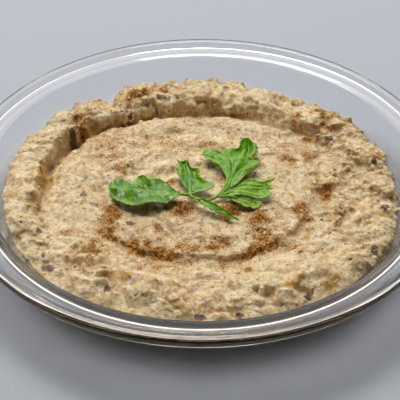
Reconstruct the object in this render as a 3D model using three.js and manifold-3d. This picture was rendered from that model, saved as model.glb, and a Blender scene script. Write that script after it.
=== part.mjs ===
// Chunky aubergine dip, swirled with a spoon in a round clear glass dish, with two sprigs of
// flat-leaf parsley laid on the middle. Millimetres, +Z up. The origin is the middle of the
// dish's foot, on the surface that it stands on, and the swirl is deepest on the +Y side.
import * as THREE from 'three';
import { mergeVertices } from 'three/addons/utils/BufferGeometryUtils.js';
import Module from 'manifold-3d';

// ---- glass dish ----
const RIM_RADIUS = 125;
const DISH_HEIGHT = 34;
const LIP_TOP = 31.2;
const LIP_BELOW = 27.6;
const BEAD_WIDTH = 5.4;
const LIP_CORNER = 109.5; // where the inside wall meets the lip
const FLOOR_CORNER = 92.5; // where the inside wall meets the floor
const FLOOR_TOP = 4.5;
const FLOOR_ROUNDING = 8;
const HEEL_CORNER = 95; // where the outside wall meets the foot
const FOOT_WIDTH = 8.5;
const FOOT_HEIGHT = 1.2;
const LEAN = (LIP_CORNER - FLOOR_CORNER) / (LIP_TOP - FLOOR_TOP); // run of the wall per rise
const BEAD_FOOT = 1.4; // run of the slope from the lip up to its rolled edge
// Rounding of each corner of the glass, from the floor over the lip to the heel.
const LIP_ROUNDING = 4;
const BEAD_FOOT_ROUNDING = 1.6;
const BEAD_INNER_ROUNDING = 2;
const BEAD_TOP_ROUNDING = 2.7;
const BEAD_BOTTOM_ROUNDING = 3.2;
const UNDER_LIP_ROUNDING = 4;
const HEEL_ROUNDING = 3;
const DISH_SIDES = 52;
const ARC_STEP = 30; // degrees turned by one facet of a rounded corner

// ---- dip ----
const GLASS_GAP = 0.45; // between the dip and the glass, at right angles to the wall
const RINGS = 31; // rings of points on the dip's surface; ring k has 6 k points
const MIDDLE = 20.4; // height of the swirled middle
const DISC_EDGE = 2.4; // run of the step at the inner disc's edge
const LEAST_RUN = 4; // shortest slope from the middle down into the trough
const BANK_FOOT = 102.5; // radius at which the bank's outer slope ends
const RIDGE_WIDTH = 3; // of the low ridge along the outer edge of the level middle
const RIDGE_INSIDE = 7; // how far the ridge stands inside the trough
const CREASE_WIDTH = 1.5;
const FURROW_DEPTH = 0.6; // of the spiral that the spoon leaves, half from top to bottom
const FURROW_PITCH = 17;
const FURROW_FROM = 8;
const FURROW_TO = 74;
const FURROW_FADE = 12;
const ROLL_HEIGHT = 0.6; // broad unevenness
const ROLL_SIZE = 14;
const ROUGH_EASE = 10; // run over which the smooth middle becomes rough
const LUMP_SHARE = 0.65; // of a lump's width, at which it has fallen to about a third
const FALL_EVEN = 0.3; // share of the bank's outer fall that is even; the rest steepens outwards
const FALL_POWER = 2.5;
const STEP_UNEVEN = 0.4; // how far the step's height varies along it, as a share
const CHUNK_LEVEL = 0.4; // share of a chunk's height that lies below the surface
const CHUNK_BEND = 0.42; // how far noise bends a chunk, as a share of its size
const CHUNK_LEAST = 0.5; // radius of the smallest chunk, as a share of its cell
const CHUNK_MORE = 0.42; // how much more the largest has
const CHUNK_SHIFT = 0.8; // how far a chunk's middle may move in its cell
const CHUNK_LOWEST = 0.4; // height of the lowest chunk, as a share of the tallest
const CHUNK_JOIN = 5; // power that joins chunks where they meet; higher leaves a sharper valley
const FACE_POWER = 2.2; // how much steeper the bank's inner face is at its foot
const EDGE_FROM = 89; // radius from which the bank gets calmer towards the glass
const EDGE_EASE = 9;
// Chunks: [size, share of places with one, height in the middle, height where rough, seed].
const CHUNKS = [
  [13, 0.85, 1.2, 4.4, 31], [6.5, 0.42, 1.1, 1.7, 51],
];
const WANDER = [ // sideways wander of the swirl: [distance, cell size, seed for X, seed for Y]
  [2, 24, 11, 12], [0.9, 9, 13, 14],
];

// Heights and radii round the dip: [degrees from +X towards +Y, value], joined smoothly.
const TROUGH_RADIUS = [
  [33, 76], [54, 71], [74, 72], [104, 71.8], [121, 73.6], [134, 79.5], [161, 82.3], [187, 84.3],
  [205, 84], [240, 72], [270, 70], [300, 72], [330, 80],
];
const TROUGH_HEIGHT = [
  [10, 20], [33, 18.2], [60, 16.8], [91, 16.2], [147, 16.5], [177, 17.3], [196, 19], [215, 20.5],
  [240, 21], [330, 21],
];
const BANK_FACE = [ // run of the bank's inner face
  [10, 14], [30, 12], [54, 9], [91, 10], [134, 7], [161, 5], [187, 5], [203, 10], [216, 14],
  [241, 12], [282, 13], [299, 14], [313, 16], [326, 16], [345, 14],
];
const CREST_HEIGHT = [
  [5, 23], [20, 24], [40, 24.5], [54, 23.5], [70, 24.5], [91, 25.2], [112, 25.2], [121, 23.5],
  [134, 25], [180, 24.5], [196, 24], [210, 21.5], [222, 22], [240, 24], [270, 24], [300, 24.5],
  [315, 24.5], [326, 23], [345, 23],
];
const EDGE_HEIGHT = [
  [2, 15.5], [14, 17], [30, 20], [49, 18.4], [56, 15.2], [67, 17], [90, 19.3], [114, 19.5],
  [120, 16.6], [126, 19.4], [140, 21], [170, 21], [200, 19.5], [215, 17.5], [228, 20], [312, 20],
  [325, 16.5], [340, 18],
];
const DISC_RADIUS = [ // edge of the inner disc
  [10, 56], [120, 56], [198, 50], [219, 58.5], [232, 60], [248, 56.4], [269, 54.3], [284, 57],
  [321, 55.5], [344, 55],
];
const DISC_STEP = [
  [10, 0.6], [60, 0.9], [120, 0.9], [150, 1.2], [175, 1.5], [200, 1], [215, 1.2], [245, 1.9],
  [262, 1.6], [285, 2], [315, 2.5], [330, 1.6], [342, 0.6], [352, 0.5],
];
const SHOULDER = [ // run of the slope from the middle down into the trough
  [10, 22], [33, 12], [134, 11], [161, 12], [187, 16], [215, 26],
];
const RIDGE_HEIGHT = [
  [20, 0.3], [38, 1.6], [60, 1.6], [95, 1.2], [115, 0.4], [160, 0.3], [190, 0],
];
const CREASE_DEPTH = [ // at the foot of the bank's inner face
  [25, 0], [38, 2], [60, 0.8], [85, 1.2], [110, 2], [128, 3], [150, 3.2], [185, 3], [205, 0],
];
const ROUGH_RADIUS = [ // radius beyond which the surface is rough
  [20, 54], [35, 64], [55, 66], [120, 69], [150, 78], [200, 79], [220, 66], [270, 68], [310, 70],
  [330, 62], [350, 52],
];
// Single lumps, and pits where the height is negative: [degrees, radius, width, height].
const LUMPS = [
  [238, 81.3, 5, 2.2], [246, 80.8, 4, 1.4], [171, 82.7, 5, 1.8], [131, 95, 8, 2],
  [144, 94.7, 7, 1.4], [116, 84, 6, 1.2], [103, 90, 7, 1.3], [92, 91, 7, 1.5], [62, 82, 7, 1.4],
  [46, 79, 6, 1.6], [42, 92, 9, 2.2], [34, 94, 7, 1.4], [38, 79, 3.5, -2.6], [33, 87, 3.2, -2.2],
  [21, 84.3, 7, 1.5], [11, 91, 7, 1.4], [358, 92, 7, 1.6], [348, 95, 7, 1.2], [313, 88.3, 8, 1.6],
  [322, 95, 7, 1.5], [303, 87, 7, 1.3], [295, 90, 7, 1.6], [280, 91, 7, 1.4], [271, 88, 6, 1.2],
  [259, 92, 7, 1.4], [149, 80.8, 4, -2.4], [204, 98.6, 3.5, -1.6], [218, 95.5, 4.5, -2.4],
  [121, 80.6, 2.2, -2.2], [192, 92.8, 6, 1.2], [186, 86, 5, 1], [160, 82, 6, 1.2],
  [230, 93.4, 6, 1.6], [234, 86, 6, 1.2], [32, 61.7, 5, 0.9], [233, 39.1, 3.5, 0.7],
  [204, 90.7, 4, 0.8], [212, 56, 5, 0.6], [310, 86, 14, 1.2], [296, 88, 12, 1],
  [345, 93, 4, -1.6], [8, 84, 4, -1.6], [22, 93, 3.5, -1.8],
];
// How rough the bank is round the dip, as a share of the chunks' full height, and how much of
// that is left at the glass.
const BANK_ROUGH = [
  [0, 1.1], [40, 1.15], [70, 1], [130, 1], [155, 0.85], [215, 0.9], [235, 1.15], [265, 1],
  [290, 1], [318, 0.7], [340, 1.1],
];
const EDGE_ROUGH = [
  [0, 0.55], [30, 0.9], [130, 0.9], [158, 0.4], [220, 0.4], [240, 0.7], [300, 0.6], [340, 0.45],
];

// ---- parsley ----
const LEAF_THICKNESS = 0.5;
const LEAF_CLEARANCE = 0.4; // between the dip and the underside of a leaf that lies on it
const STALK_RADIUS = 0.8;
const TOOTH_DEPTH = 0.5;
const LEAF_REACH = 2; // how far round a point of a leaf the dip under it is read
const PLEAT_FROM_STALK = 0.35; // share of a leaflet's length over which its pleats rise
const PLEAT_TO_TIP = 0.2; // and over which they die out
const LEAF_ROWS = 14;
const LEAF_COLUMNS = 4;
// A leaflet is a left margin, a right margin and a rib between them, each from the stalk to the
// tip. A point is [x, y, lift above the lowest place that a leaf can lie]. Its pleats are waves
// across it, pleat is their height.
const LEFT_SPRIG = [
  {
    left: [
      [-10, -11, 2.2], [-14, -14.5, 2.6], [-19, -18, 3], [-26.5, -20, 3.2], [-33.5, -20, 3],
      [-40.5, -17, 2.4], [-45.5, -12, 1.8], [-48.5, -4, 1.2],
    ],
    right: [
      [-10, -11, 2.2], [-14, -9, 3], [-19.5, -3, 3.6], [-23, 0.5, 4], [-26.5, 1.5, 4],
      [-30, 0, 3.8], [-33.5, -2, 3.4], [-38.5, 0, 3.2], [-43.5, 1.5, 2.6], [-46.5, -0.5, 1.8],
      [-48.5, -4, 1.2],
    ],
    rib: [
      [-10, -11, 2.2], [-19, -10.5, 3.4], [-29.5, -10, 3.8], [-39.5, -7.5, 3.2], [-48.5, -4, 1.2],
    ],
    pleats: 0.8,
    pleat: 0.3,
  },
  {
    left: [
      [-26.5, -10, 3.4], [-30, -9, 4.6], [-33, -6.5, 5.6], [-34, -3.5, 6.4], [-33, -1.5, 6.8],
      [-30.5, -0.5, 7],
    ],
    right: [
      [-26.5, -10, 3.4], [-25, -7.5, 4.6], [-26, -4.5, 5.6], [-27.5, -2.5, 6.4], [-29, -0.5, 6.8],
      [-30.5, -0.5, 7],
    ],
    rib: [[-26.5, -10, 3.4], [-29, -5.5, 5.2], [-30.5, -0.5, 7]],
    pleats: 1.5,
    pleat: 0.3,
  },
  {
    left: [
      [-6.5, -8.5, 2.6], [-9.5, -4, 3], [-11.5, 1.5, 3.2], [-13.5, 9, 3.4], [-12, 12, 3.8],
      [-13, 15.5, 4.6], [-10.5, 14, 4.4], [-8, 16, 4.8],
    ],
    right: [
      [-6.5, -8.5, 2.6], [-1.5, -9, 3], [2, -8.5, 3.2], [6, -4.5, 3.6], [2.5, -1, 3.8],
      [-1.5, 3, 4], [-1.5, 8, 4.4], [-3, 9, 4.6], [-5, 8.5, 4.4], [-7, 12.5, 4.6], [-8, 16, 4.8],
    ],
    rib: [[-6.5, -8.5, 2.6], [-7, -0.5, 3], [-7.5, 8, 3.4], [-8, 16, 4.8]],
    pleats: 1.2,
    pleat: 0.5,
  },
  {
    left: [
      [-6.5, -11.5, 2.6], [-3, -14.5, 3.4], [1, -17, 3.6], [6.5, -20, 3], [12.5, -23.5, 1.8],
      [16.5, -27, 0.8], [18.5, -29, 0],
    ],
    right: [
      [-6.5, -11.5, 2.6], [-5, -16, 3], [-1, -20, 3], [3.5, -23, 2.6], [9, -24.5, 1.6],
      [13.5, -27, 0.6], [18.5, -29, 0],
    ],
    rib: [[-6.5, -11.5, 2.6], [1, -18, 2.8], [9.5, -22, 1.6], [18.5, -29, 0]],
    pleats: 1,
    pleat: 0.2,
  },
];
const RIGHT_SPRIG = [
  {
    left: [
      [13, 1, 3], [11.5, 6, 3.2], [9, 11.5, 3.4], [6, 15.5, 3.4], [2, 18.5, 3.4], [0, 22, 3.6],
    ],
    right: [
      [13, 1, 3], [15.5, 8, 3.2], [16, 15, 3.8], [13.5, 20.5, 4.4], [9, 23.5, 4.2], [4.5, 26, 3.8],
      [1, 25.5, 3.6], [0, 22, 3.6],
    ],
    rib: [[13, 1, 3], [12, 11.5, 3], [7, 20, 3.2], [0, 22, 3.6]],
    pleats: 0.9,
    pleat: 0.3,
  },
  {
    left: [
      [12, -6.5, 2.6], [13, 1, 3], [14.5, 9, 3.4], [13.5, 17, 3.8], [11.5, 24.5, 4.2],
      [11.5, 28, 4.6], [14.5, 27.5, 4.4], [19, 27.5, 4.2], [20.5, 31.5, 5], [24.5, 34, 5.6],
    ],
    right: [
      [12, -6.5, 2.6], [17, -3, 3], [21, 2.5, 3.2], [24, 7, 3.4], [28.5, 11.5, 3.6],
      [29.5, 16, 3.8], [26, 18.5, 3.8], [29, 23.5, 4.4], [28.5, 30, 5], [26, 31.5, 5.2],
      [24.5, 34, 5.6],
    ],
    rib: [[12, -6.5, 2.6], [15, 5, 2.8], [19, 18, 3.2], [22.5, 27.5, 4], [24.5, 34, 5.6]],
    pleats: 1.3,
    pleat: 0.7,
  },
  {
    left: [
      [11.5, -9.5, 2.4], [16.5, -5.5, 3], [21, -2, 3.6], [26, 0, 4], [30.5, -1.5, 4.2],
      [37, 0, 4.4], [33.5, -3, 4], [35.5, -5.5, 4],
    ],
    right: [
      [11.5, -9.5, 2.4], [15.5, -12, 2.4], [21.5, -12, 2.8], [27, -13, 3], [32.5, -13, 3],
      [35, -10.5, 3.2], [33, -9, 3.4], [36, -8, 3.6], [33.5, -6.5, 3.8], [35.5, -5.5, 4],
    ],
    rib: [[11.5, -9.5, 2.4], [19, -6.5, 2.6], [27.5, -6, 3.2], [35.5, -5.5, 4]],
    pleats: 1.8,
    pleat: 0.18,
  },
  {
    left: [
      [12.5, -11.5, 2], [17.5, -11.5, 2], [22.5, -12, 2], [27, -13.5, 1.8], [30, -15, 1.2],
      [29.5, -16.5, 0.8],
    ],
    right: [
      [12.5, -11.5, 2], [14.5, -13.5, 1.2], [18, -16.5, 1], [22.5, -18.5, 0.8], [23.5, -17.5, 0.9],
      [25.5, -19, 0.7], [28, -18.5, 0.6], [29.5, -16.5, 0.8],
    ],
    rib: [[12.5, -11.5, 2], [19, -14, 1.4], [25, -15.5, 1.2], [29.5, -16.5, 0.8]],
    pleats: 1.2,
    pleat: 0.2,
  },
];
// Stalks: points [x, y, lift] that a stalk runs through.
const LEFT_STALKS = [
  [[-12, -11.3, 2.5], [-6.5, -11.5, 2.8], [-2.5, -9.5, 3]],
  [[-6.5, -11.5, 2.8], [-6.5, -7, 2.9], [-7, -2.5, 3.1]],
  [[-7, -11, 2.8], [-5, -14.5, 3], [-1.5, -17, 3.1]],
];
const RIGHT_STALKS = [
  [[3, -13.5, 0.4], [7, -11.5, 1.4], [9.5, -8.5, 2.2], [11.5, -4.5, 2.8], [13, 2, 3.1]],
  [[8, -10.5, 1.8], [12, -6.5, 2.6], [14.5, 1.5, 2.9]],
  [[7.5, -11, 1.6], [11, -10, 2.4], [15.5, -9, 2.7]],
  [[8, -11.3, 1.6], [12.5, -11.5, 2], [17.5, -13, 1.6]],
];

// ---- small helpers ----

function smooth(t) {
  const c = Math.min(Math.max(t, 0), 1);
  return c * c * (3 - 2 * c);
}

function bell(t) {
  return Math.exp(-t * t);
}

// Value at an angle, in degrees, from a table of [degrees, value] that goes once round.
function around(degrees, table) {
  const d = ((degrees % 360) + 360) % 360;
  let i = table.length - 1;
  for (let k = 0; k < table.length; k += 1) {
    if (table[k][0] <= d) i = k;
  }
  if (d < table[0][0]) i = table.length - 1;
  const [from, low] = table[i];
  const [to, high] = table[(i + 1) % table.length];
  const span = (to - from + 360) % 360;
  const t = ((d - from + 360) % 360) / span;
  return low + (high - low) * smooth(t);
}

// A number from 0 to 1 that is fixed for each cell (i, j, k) and seed.
function draw(seed, i, j, k = 0) {
  let h = Math.imul(i, 374761393) + Math.imul(j, 668265263) + Math.imul(k, 2246822519);
  h = (h + Math.imul(seed, 1442695041)) >>> 0;
  h = Math.imul(h ^ (h >>> 13), 1274126177) >>> 0;
  return ((h ^ (h >>> 16)) >>> 0) / 4294967296;
}

const CELL_SHIFT = 1000; // keeps cell numbers positive

// Smooth noise from -1 to 1, with values drawn at the corners of square cells.
function noise(x, y, cell, seed) {
  const u = x / cell + CELL_SHIFT;
  const v = y / cell + CELL_SHIFT;
  const i = Math.floor(u);
  const j = Math.floor(v);
  const ease = (t) => t * t * t * (t * (t * 6 - 15) + 10);
  const a = ease(u - i);
  const b = ease(v - j);
  const low = draw(seed, i, j) * (1 - a) + draw(seed, i + 1, j) * a;
  const high = draw(seed, i, j + 1) * (1 - a) + draw(seed, i + 1, j + 1) * a;
  return 2 * (low * (1 - b) + high * b) - 1;
}

// Rounded lumps in space from 0 to 1, at most one to a cubic cell, joined softly where they meet.
function chunks(place, cell, share, seed) {
  const p = place.map((c) => c / cell + CELL_SHIFT);
  const own = p.map(Math.floor);
  const steps = [-1, 0, 1];
  let total = 0;
  for (const di of steps) {
    for (const dj of steps) {
      for (const dk of steps) {
        const c = [own[0] + di, own[1] + dj, own[2] + dk];
        const off = p.map((v, n) => v - c[n] - 0.5 - CHUNK_SHIFT * (draw(seed + n, ...c) - 0.5));
        const size = CHUNK_LEAST + CHUNK_MORE * draw(seed + 3, ...c);
        const pick = draw(seed + 4, ...c);
        const tall = pick < share ? CHUNK_LOWEST + (1 - CHUNK_LOWEST) * pick / share : 0;
        const rest = 1 - (off[0] ** 2 + off[1] ** 2 + off[2] ** 2) / size ** 2;
        total += Math.max(tall * rest, 0) ** CHUNK_JOIN;
      }
    }
  }
  return total ** (1 / CHUNK_JOIN);
}

// ---- the glass dish ----

// A polyline of [r, z, rounding] corners, with each rounded corner made an arc of short facets.
function roundedProfile(corners) {
  const points = [];
  corners.forEach(([r, z, rounding], i) => {
    const here = new THREE.Vector2(r, z);
    if (!rounding) {
      points.push(here);
      return;
    }
    const back = new THREE.Vector2(...corners[i - 1].slice(0, 2)).sub(here).normalize();
    const on = new THREE.Vector2(...corners[i + 1].slice(0, 2)).sub(here).normalize();
    const half = Math.acos(THREE.MathUtils.clamp(back.dot(on), -1, 1)) / 2;
    const middle = back.clone().add(on).normalize();
    const centre = here.clone().addScaledVector(middle, rounding / Math.sin(half));
    const first = here.clone().addScaledVector(back, rounding / Math.tan(half)).sub(centre);
    const turn = Math.PI - 2 * half;
    const sense = Math.sign(back.cross(on));
    const steps = Math.max(Math.round(THREE.MathUtils.radToDeg(turn) / ARC_STEP), 1);
    for (let k = 0; k <= steps; k += 1) {
      const arm = first.clone().rotateAround(new THREE.Vector2(), -sense * turn * k / steps);
      points.push(arm.add(centre));
    }
  });
  return points;
}

// Up the inside, over the lip and its rolled edge, and back underneath to the foot.
function dishGeometry() {
  const beadInside = RIM_RADIUS - BEAD_WIDTH;
  const footInside = HEEL_CORNER - FOOT_WIDTH;
  const underLip = HEEL_CORNER + LIP_BELOW * LEAN;
  const profile = roundedProfile([
    [0, FLOOR_TOP, 0],
    [FLOOR_CORNER, FLOOR_TOP, FLOOR_ROUNDING],
    [LIP_CORNER, LIP_TOP, LIP_ROUNDING],
    [beadInside - BEAD_FOOT, LIP_TOP, BEAD_FOOT_ROUNDING],
    [beadInside, DISH_HEIGHT, BEAD_INNER_ROUNDING],
    [RIM_RADIUS, DISH_HEIGHT, BEAD_TOP_ROUNDING],
    [RIM_RADIUS, LIP_BELOW, BEAD_BOTTOM_ROUNDING],
    [underLip, LIP_BELOW, UNDER_LIP_ROUNDING],
    [HEEL_CORNER, 0, HEEL_ROUNDING],
    [footInside, 0, 0],
    [footInside - FOOT_HEIGHT, FOOT_HEIGHT, 0],
    [0, FOOT_HEIGHT, 0],
  ]);
  // LatheGeometry turns about Y, and its faces point out when the profile runs up the outside.
  return new THREE.LatheGeometry(profile.reverse(), DISH_SIDES).rotateX(Math.PI / 2);
}

// ---- the dip ----

// Height of the dip's surface at (x, y): its form, with chunks on top that are taller where the
// surface is rough.
function dipHeight(x, y) {
  const rough = roughness(x, y);
  const strength = bankStrength(x, y);
  let z = dipForm(x, y);
  for (const [size, share, inMiddle, whereRough, seed] of CHUNKS) {
    const cell = 0.6 * size;
    const bend = CHUNK_BEND * size;
    const place = [
      x + bend * noise(x + 2 * z, y, cell, seed + 6),
      y + bend * noise(x, y + 2 * z, cell, seed + 7),
      z + bend * noise(x, y - z, cell, seed + 8),
    ];
    const height = inMiddle + (whereRough * strength - inMiddle) * rough;
    z += height * (chunks(place, size, share, seed) - CHUNK_LEVEL);
  }
  return z;
}

// A level middle with a low ridge round it, the slope into the trough, the step at the inner
// disc's edge, the crease, the bank's inner face and its rounded outer fall, the spoon's furrow,
// and single lumps.
function dipForm(x, y) {
  let wx = x;
  let wy = y;
  for (const [distance, cell, seedX, seedY] of WANDER) {
    wx += distance * noise(x, y, cell, seedX);
    wy += distance * noise(x, y, cell, seedY);
  }
  const r = Math.hypot(wx, wy);
  const degrees = THREE.MathUtils.radToDeg(Math.atan2(wy, wx));
  const trough = around(degrees, TROUGH_RADIUS);
  const troughHeight = around(degrees, TROUGH_HEIGHT);
  const crest = trough + around(degrees, BANK_FACE);
  const crestHeight = around(degrees, CREST_HEIGHT);
  const disc = around(degrees, DISC_RADIUS);
  const step = around(degrees, DISC_STEP) * (0.9 + STEP_UNEVEN * noise(x, y, 13, 15));
  const edge = disc + DISC_EDGE;
  const slopeTop = Math.max(trough - around(degrees, SHOULDER), edge);
  const shoulder = Math.min(slopeTop, trough - LEAST_RUN);
  const slopeEnd = Math.max(trough, edge + LEAST_RUN);
  const ridge = around(degrees, RIDGE_HEIGHT) * bell((r - trough + RIDGE_INSIDE) / RIDGE_WIDTH);
  const crease = around(degrees, CREASE_DEPTH) * bell((r - trough - 0.5) / CREASE_WIDTH);
  let h = MIDDLE;
  h += (troughHeight - MIDDLE) * smooth((r - shoulder) / (trough - shoulder));
  h -= step * smooth((r - disc) / DISC_EDGE) * (1 - smooth((r - edge) / (slopeEnd - edge)));
  h += ridge - crease;
  const climb = THREE.MathUtils.clamp((r - trough) / (crest - trough), 0, 1);
  h += (crestHeight - troughHeight) * (1 - (1 - climb) ** FACE_POWER);
  const out = THREE.MathUtils.clamp((r - crest) / (BANK_FOOT - crest), 0, 1);
  const fall = FALL_EVEN * smooth(out) + (1 - FALL_EVEN) * out ** FALL_POWER;
  h += (around(degrees, EDGE_HEIGHT) - crestHeight) * fall;
  return h + furrow(x, y) + lumps(x, y);
}

// A shallow spiral furrow that the spoon leaves in the middle.
function furrow(x, y) {
  const r = Math.hypot(x, y);
  const turns = r / FURROW_PITCH - Math.atan2(y, x) / (2 * Math.PI);
  const wander = 1.5 * noise(x, y, 30, 16);
  const fade = smooth((r - FURROW_FROM) / FURROW_FADE) * smooth((FURROW_TO - r) / FURROW_FADE);
  return FURROW_DEPTH * Math.sin(2 * Math.PI * turns + wander) * fade;
}

// Bell-shaped single lumps and pits, over a broad unevenness.
function lumps(x, y) {
  let h = ROLL_HEIGHT * noise(x, y, ROLL_SIZE, 21);
  for (const [degrees, radius, width, height] of LUMPS) {
    const a = THREE.MathUtils.degToRad(degrees);
    const d = Math.hypot(x - radius * Math.cos(a), y - radius * Math.sin(a));
    h += height * bell(d / (LUMP_SHARE * width));
  }
  return h;
}

// 0 on the smooth middle and 1 on the rough bank.
function roughness(x, y) {
  const start = around(THREE.MathUtils.radToDeg(Math.atan2(y, x)), ROUGH_RADIUS);
  return smooth((Math.hypot(x, y) + 3 * noise(x, y, 8, 17) - start) / ROUGH_EASE);
}

// Share of their full height that the bank's chunks have, which falls towards the glass.
function bankStrength(x, y) {
  const degrees = THREE.MathUtils.radToDeg(Math.atan2(y, x));
  const fade = smooth((Math.hypot(x, y) - EDGE_FROM) / EDGE_EASE);
  return around(degrees, BANK_ROUGH) * (1 - (1 - around(degrees, EDGE_ROUGH)) * fade);
}

// Radius of the dip's side at a height, on the sloping part of the wall.
function sideRadius(z) {
  return FLOOR_CORNER + (z - FLOOR_TOP) * LEAN - GLASS_GAP * Math.hypot(1, LEAN);
}

function sideHeight(r) {
  return (r - sideRadius(0)) / LEAN;
}

// Radius at which the dip's surface meets the glass at an angle, by halving.
function edgeRadius(a) {
  const halvings = 30;
  let low = sideRadius(FLOOR_TOP + FLOOR_ROUNDING);
  let high = sideRadius(LIP_TOP);
  for (let k = 0; k < halvings; k += 1) {
    const r = (low + high) / 2;
    if (dipHeight(r * Math.cos(a), r * Math.sin(a)) > sideHeight(r)) low = r;
    else high = r;
  }
  return low;
}

// Rings of 6 k points on top, then rings of 6 RINGS points down the side to the flat bottom.
function dipGeometry() {
  const points = [new THREE.Vector3(0, 0, dipHeight(0, 0))];
  const faces = [];
  const ringStart = [0];
  const last = 6 * RINGS;
  const edge = Array.from({ length: last }, (_, j) => edgeRadius(2 * Math.PI * j / last));
  for (let k = 1; k <= RINGS; k += 1) {
    ringStart.push(points.length);
    for (let j = 0; j < 6 * k; j += 1) {
      const a = 2 * Math.PI * j / (6 * k);
      const s = j * RINGS / k;
      const i = Math.floor(s);
      const rim = edge[i] + (edge[(i + 1) % last] - edge[i]) * (s - i);
      const r = rim * k / RINGS;
      const x = r * Math.cos(a);
      const y = r * Math.sin(a);
      points.push(new THREE.Vector3(x, y, k === RINGS ? sideHeight(r) : dipHeight(x, y)));
    }
    stitchRings(faces, ringStart[k - 1], k - 1, ringStart[k], k);
  }
  let above = ringStart[RINGS];
  for (const [r, z] of lowerRings()) {
    const start = points.length;
    for (let j = 0; j < last; j += 1) {
      const a = 2 * Math.PI * j / last;
      points.push(new THREE.Vector3(r * Math.cos(a), r * Math.sin(a), z));
      const next = (j + 1) % last;
      faces.push([above + j, start + j, start + next], [above + j, start + next, above + next]);
    }
    above = start;
  }
  points.push(new THREE.Vector3(0, 0, FLOOR_TOP + GLASS_GAP));
  for (let j = 0; j < last; j += 1) {
    faces.push([above + (j + 1) % last, above + j, points.length - 1]);
  }
  return meshGeometry(points, faces);
}

// Radius and height of the rings below the surface: the end of the sloping wall, the middle of
// the rounding at the floor, and the floor.
function lowerRings() {
  const slope = Math.atan(1 / LEAN);
  const start = FLOOR_CORNER - FLOOR_ROUNDING * Math.tan(slope / 2);
  const centre = FLOOR_TOP + FLOOR_ROUNDING;
  const radius = FLOOR_ROUNDING - GLASS_GAP;
  return [1, 0.5, 0].map((share) => [
    start + radius * Math.sin(slope * share),
    centre - radius * Math.cos(slope * share),
  ]);
}

// Triangles between ring k - 1 and ring k, sector by sector.
function stitchRings(faces, inner, innerRing, outer, outerRing) {
  for (let sector = 0; sector < 6; sector += 1) {
    for (let m = 0; m < outerRing; m += 1) {
      const o = (n) => outer + (sector * outerRing + n) % (6 * outerRing);
      const i = (n) => inner + (innerRing ? (sector * innerRing + n) % (6 * innerRing) : 0);
      faces.push([i(m), o(m), o(m + 1)]);
      if (m < innerRing) faces.push([i(m), o(m + 1), i(m + 1)]);
    }
  }
}

function meshGeometry(points, faces) {
  const geometry = new THREE.BufferGeometry();
  const position = points.flatMap((p) => [p.x, p.y, p.z]);
  geometry.setAttribute('position', new THREE.Float32BufferAttribute(position, 3));
  geometry.setIndex(faces.flat());
  return geometry;
}

// ---- the parsley ----

// Where the middle of a leaf's thickness lies at (x, y) when it is lifted by so much. The dip
// under it is read at five places, so that no lump comes through.
function leafHeight(x, y, lift) {
  const near = [[0, 0], [LEAF_REACH, 0], [-LEAF_REACH, 0], [0, LEAF_REACH], [0, -LEAF_REACH]];
  const top = Math.max(...near.map(([dx, dy]) => dipHeight(x + dx, y + dy)));
  return top + LEAF_CLEARANCE + LEAF_THICKNESS / 2 + lift;
}

function curveOf(rows) {
  return new THREE.CatmullRomCurve3(rows.map((row) => new THREE.Vector3(...row)));
}

// A thin closed sheet: rows run from one margin over the rib to the other, and the margins have
// a tooth at every second row. Row 0 and the last row are the points at the stalk and the tip.
function leafletGeometry({ left, right, rib, pleats, pleat }) {
  const [l, r, m] = [left, right, rib].map(curveOf);
  const points = [];
  const faces = [];
  const width = LEAF_COLUMNS + 1;
  for (let k = 0; k <= LEAF_ROWS; k += 1) {
    const t = k / LEAF_ROWS;
    const middle = m.getPoint(t);
    const tooth = k % 2 ? TOOTH_DEPTH / 2 : -TOOTH_DEPTH / 2;
    const pole = k === 0 || k === LEAF_ROWS;
    const fade = smooth(t / PLEAT_FROM_STALK) * smooth((1 - t) / PLEAT_TO_TIP);
    const wave = pole ? 0 : pleat * fade;
    const across = Array.from({ length: pole ? 1 : width }, (_, c) => {
      const v = pole ? 0 : 2 * c / LEAF_COLUMNS - 1;
      const side = (v < 0 ? l : r).getPoint(t).sub(middle);
      const out = Math.hypot(side.x, side.y) || 1;
      const share = Math.abs(v) * (1 + (Math.abs(v) === 1 ? tooth / Math.max(out, 2) : 0));
      const lift = middle.z + side.z * v * v + wave * Math.cos(2 * Math.PI * pleats * v);
      const x = middle.x + side.x * share;
      const y = middle.y + side.y * share;
      return new THREE.Vector3(x, y, leafHeight(x, y, lift));
    });
    points.push(across);
  }
  const flat = points.flat();
  const count = flat.length;
  const half = new THREE.Vector3(0, 0, LEAF_THICKNESS / 2);
  const solid = [...flat.map((p) => p.clone().add(half)), ...flat.map((p) => p.clone().sub(half))];
  const at = (k, c) => (k === 0 ? 0 : 1 + (k - 1) * width + c);
  const tip = count - 1;
  for (let c = 0; c < LEAF_COLUMNS; c += 1) {
    faces.push([0, at(1, c + 1), at(1, c)]);
    for (let k = 1; k < LEAF_ROWS - 1; k += 1) {
      faces.push([at(k, c), at(k, c + 1), at(k + 1, c + 1)], [at(k, c), at(k + 1, c + 1), at(k + 1, c)]);
    }
    faces.push([at(LEAF_ROWS - 1, c), at(LEAF_ROWS - 1, c + 1), tip]);
  }
  const rows = Array.from({ length: LEAF_ROWS - 1 }, (_, k) => k + 1);
  const rim = [0, ...rows.map((k) => at(k, LEAF_COLUMNS)), tip, ...rows.reverse().map((k) => at(k, 0))];
  const under = faces.map(([a, b, c]) => [a + count, c + count, b + count]);
  const walls = rim.flatMap((a, i) => {
    const b = rim[(i + 1) % rim.length];
    return [[a, a + count, b + count], [a, b + count, b]];
  });
  return meshGeometry(solid, [...faces, ...under, ...walls]);
}

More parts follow.
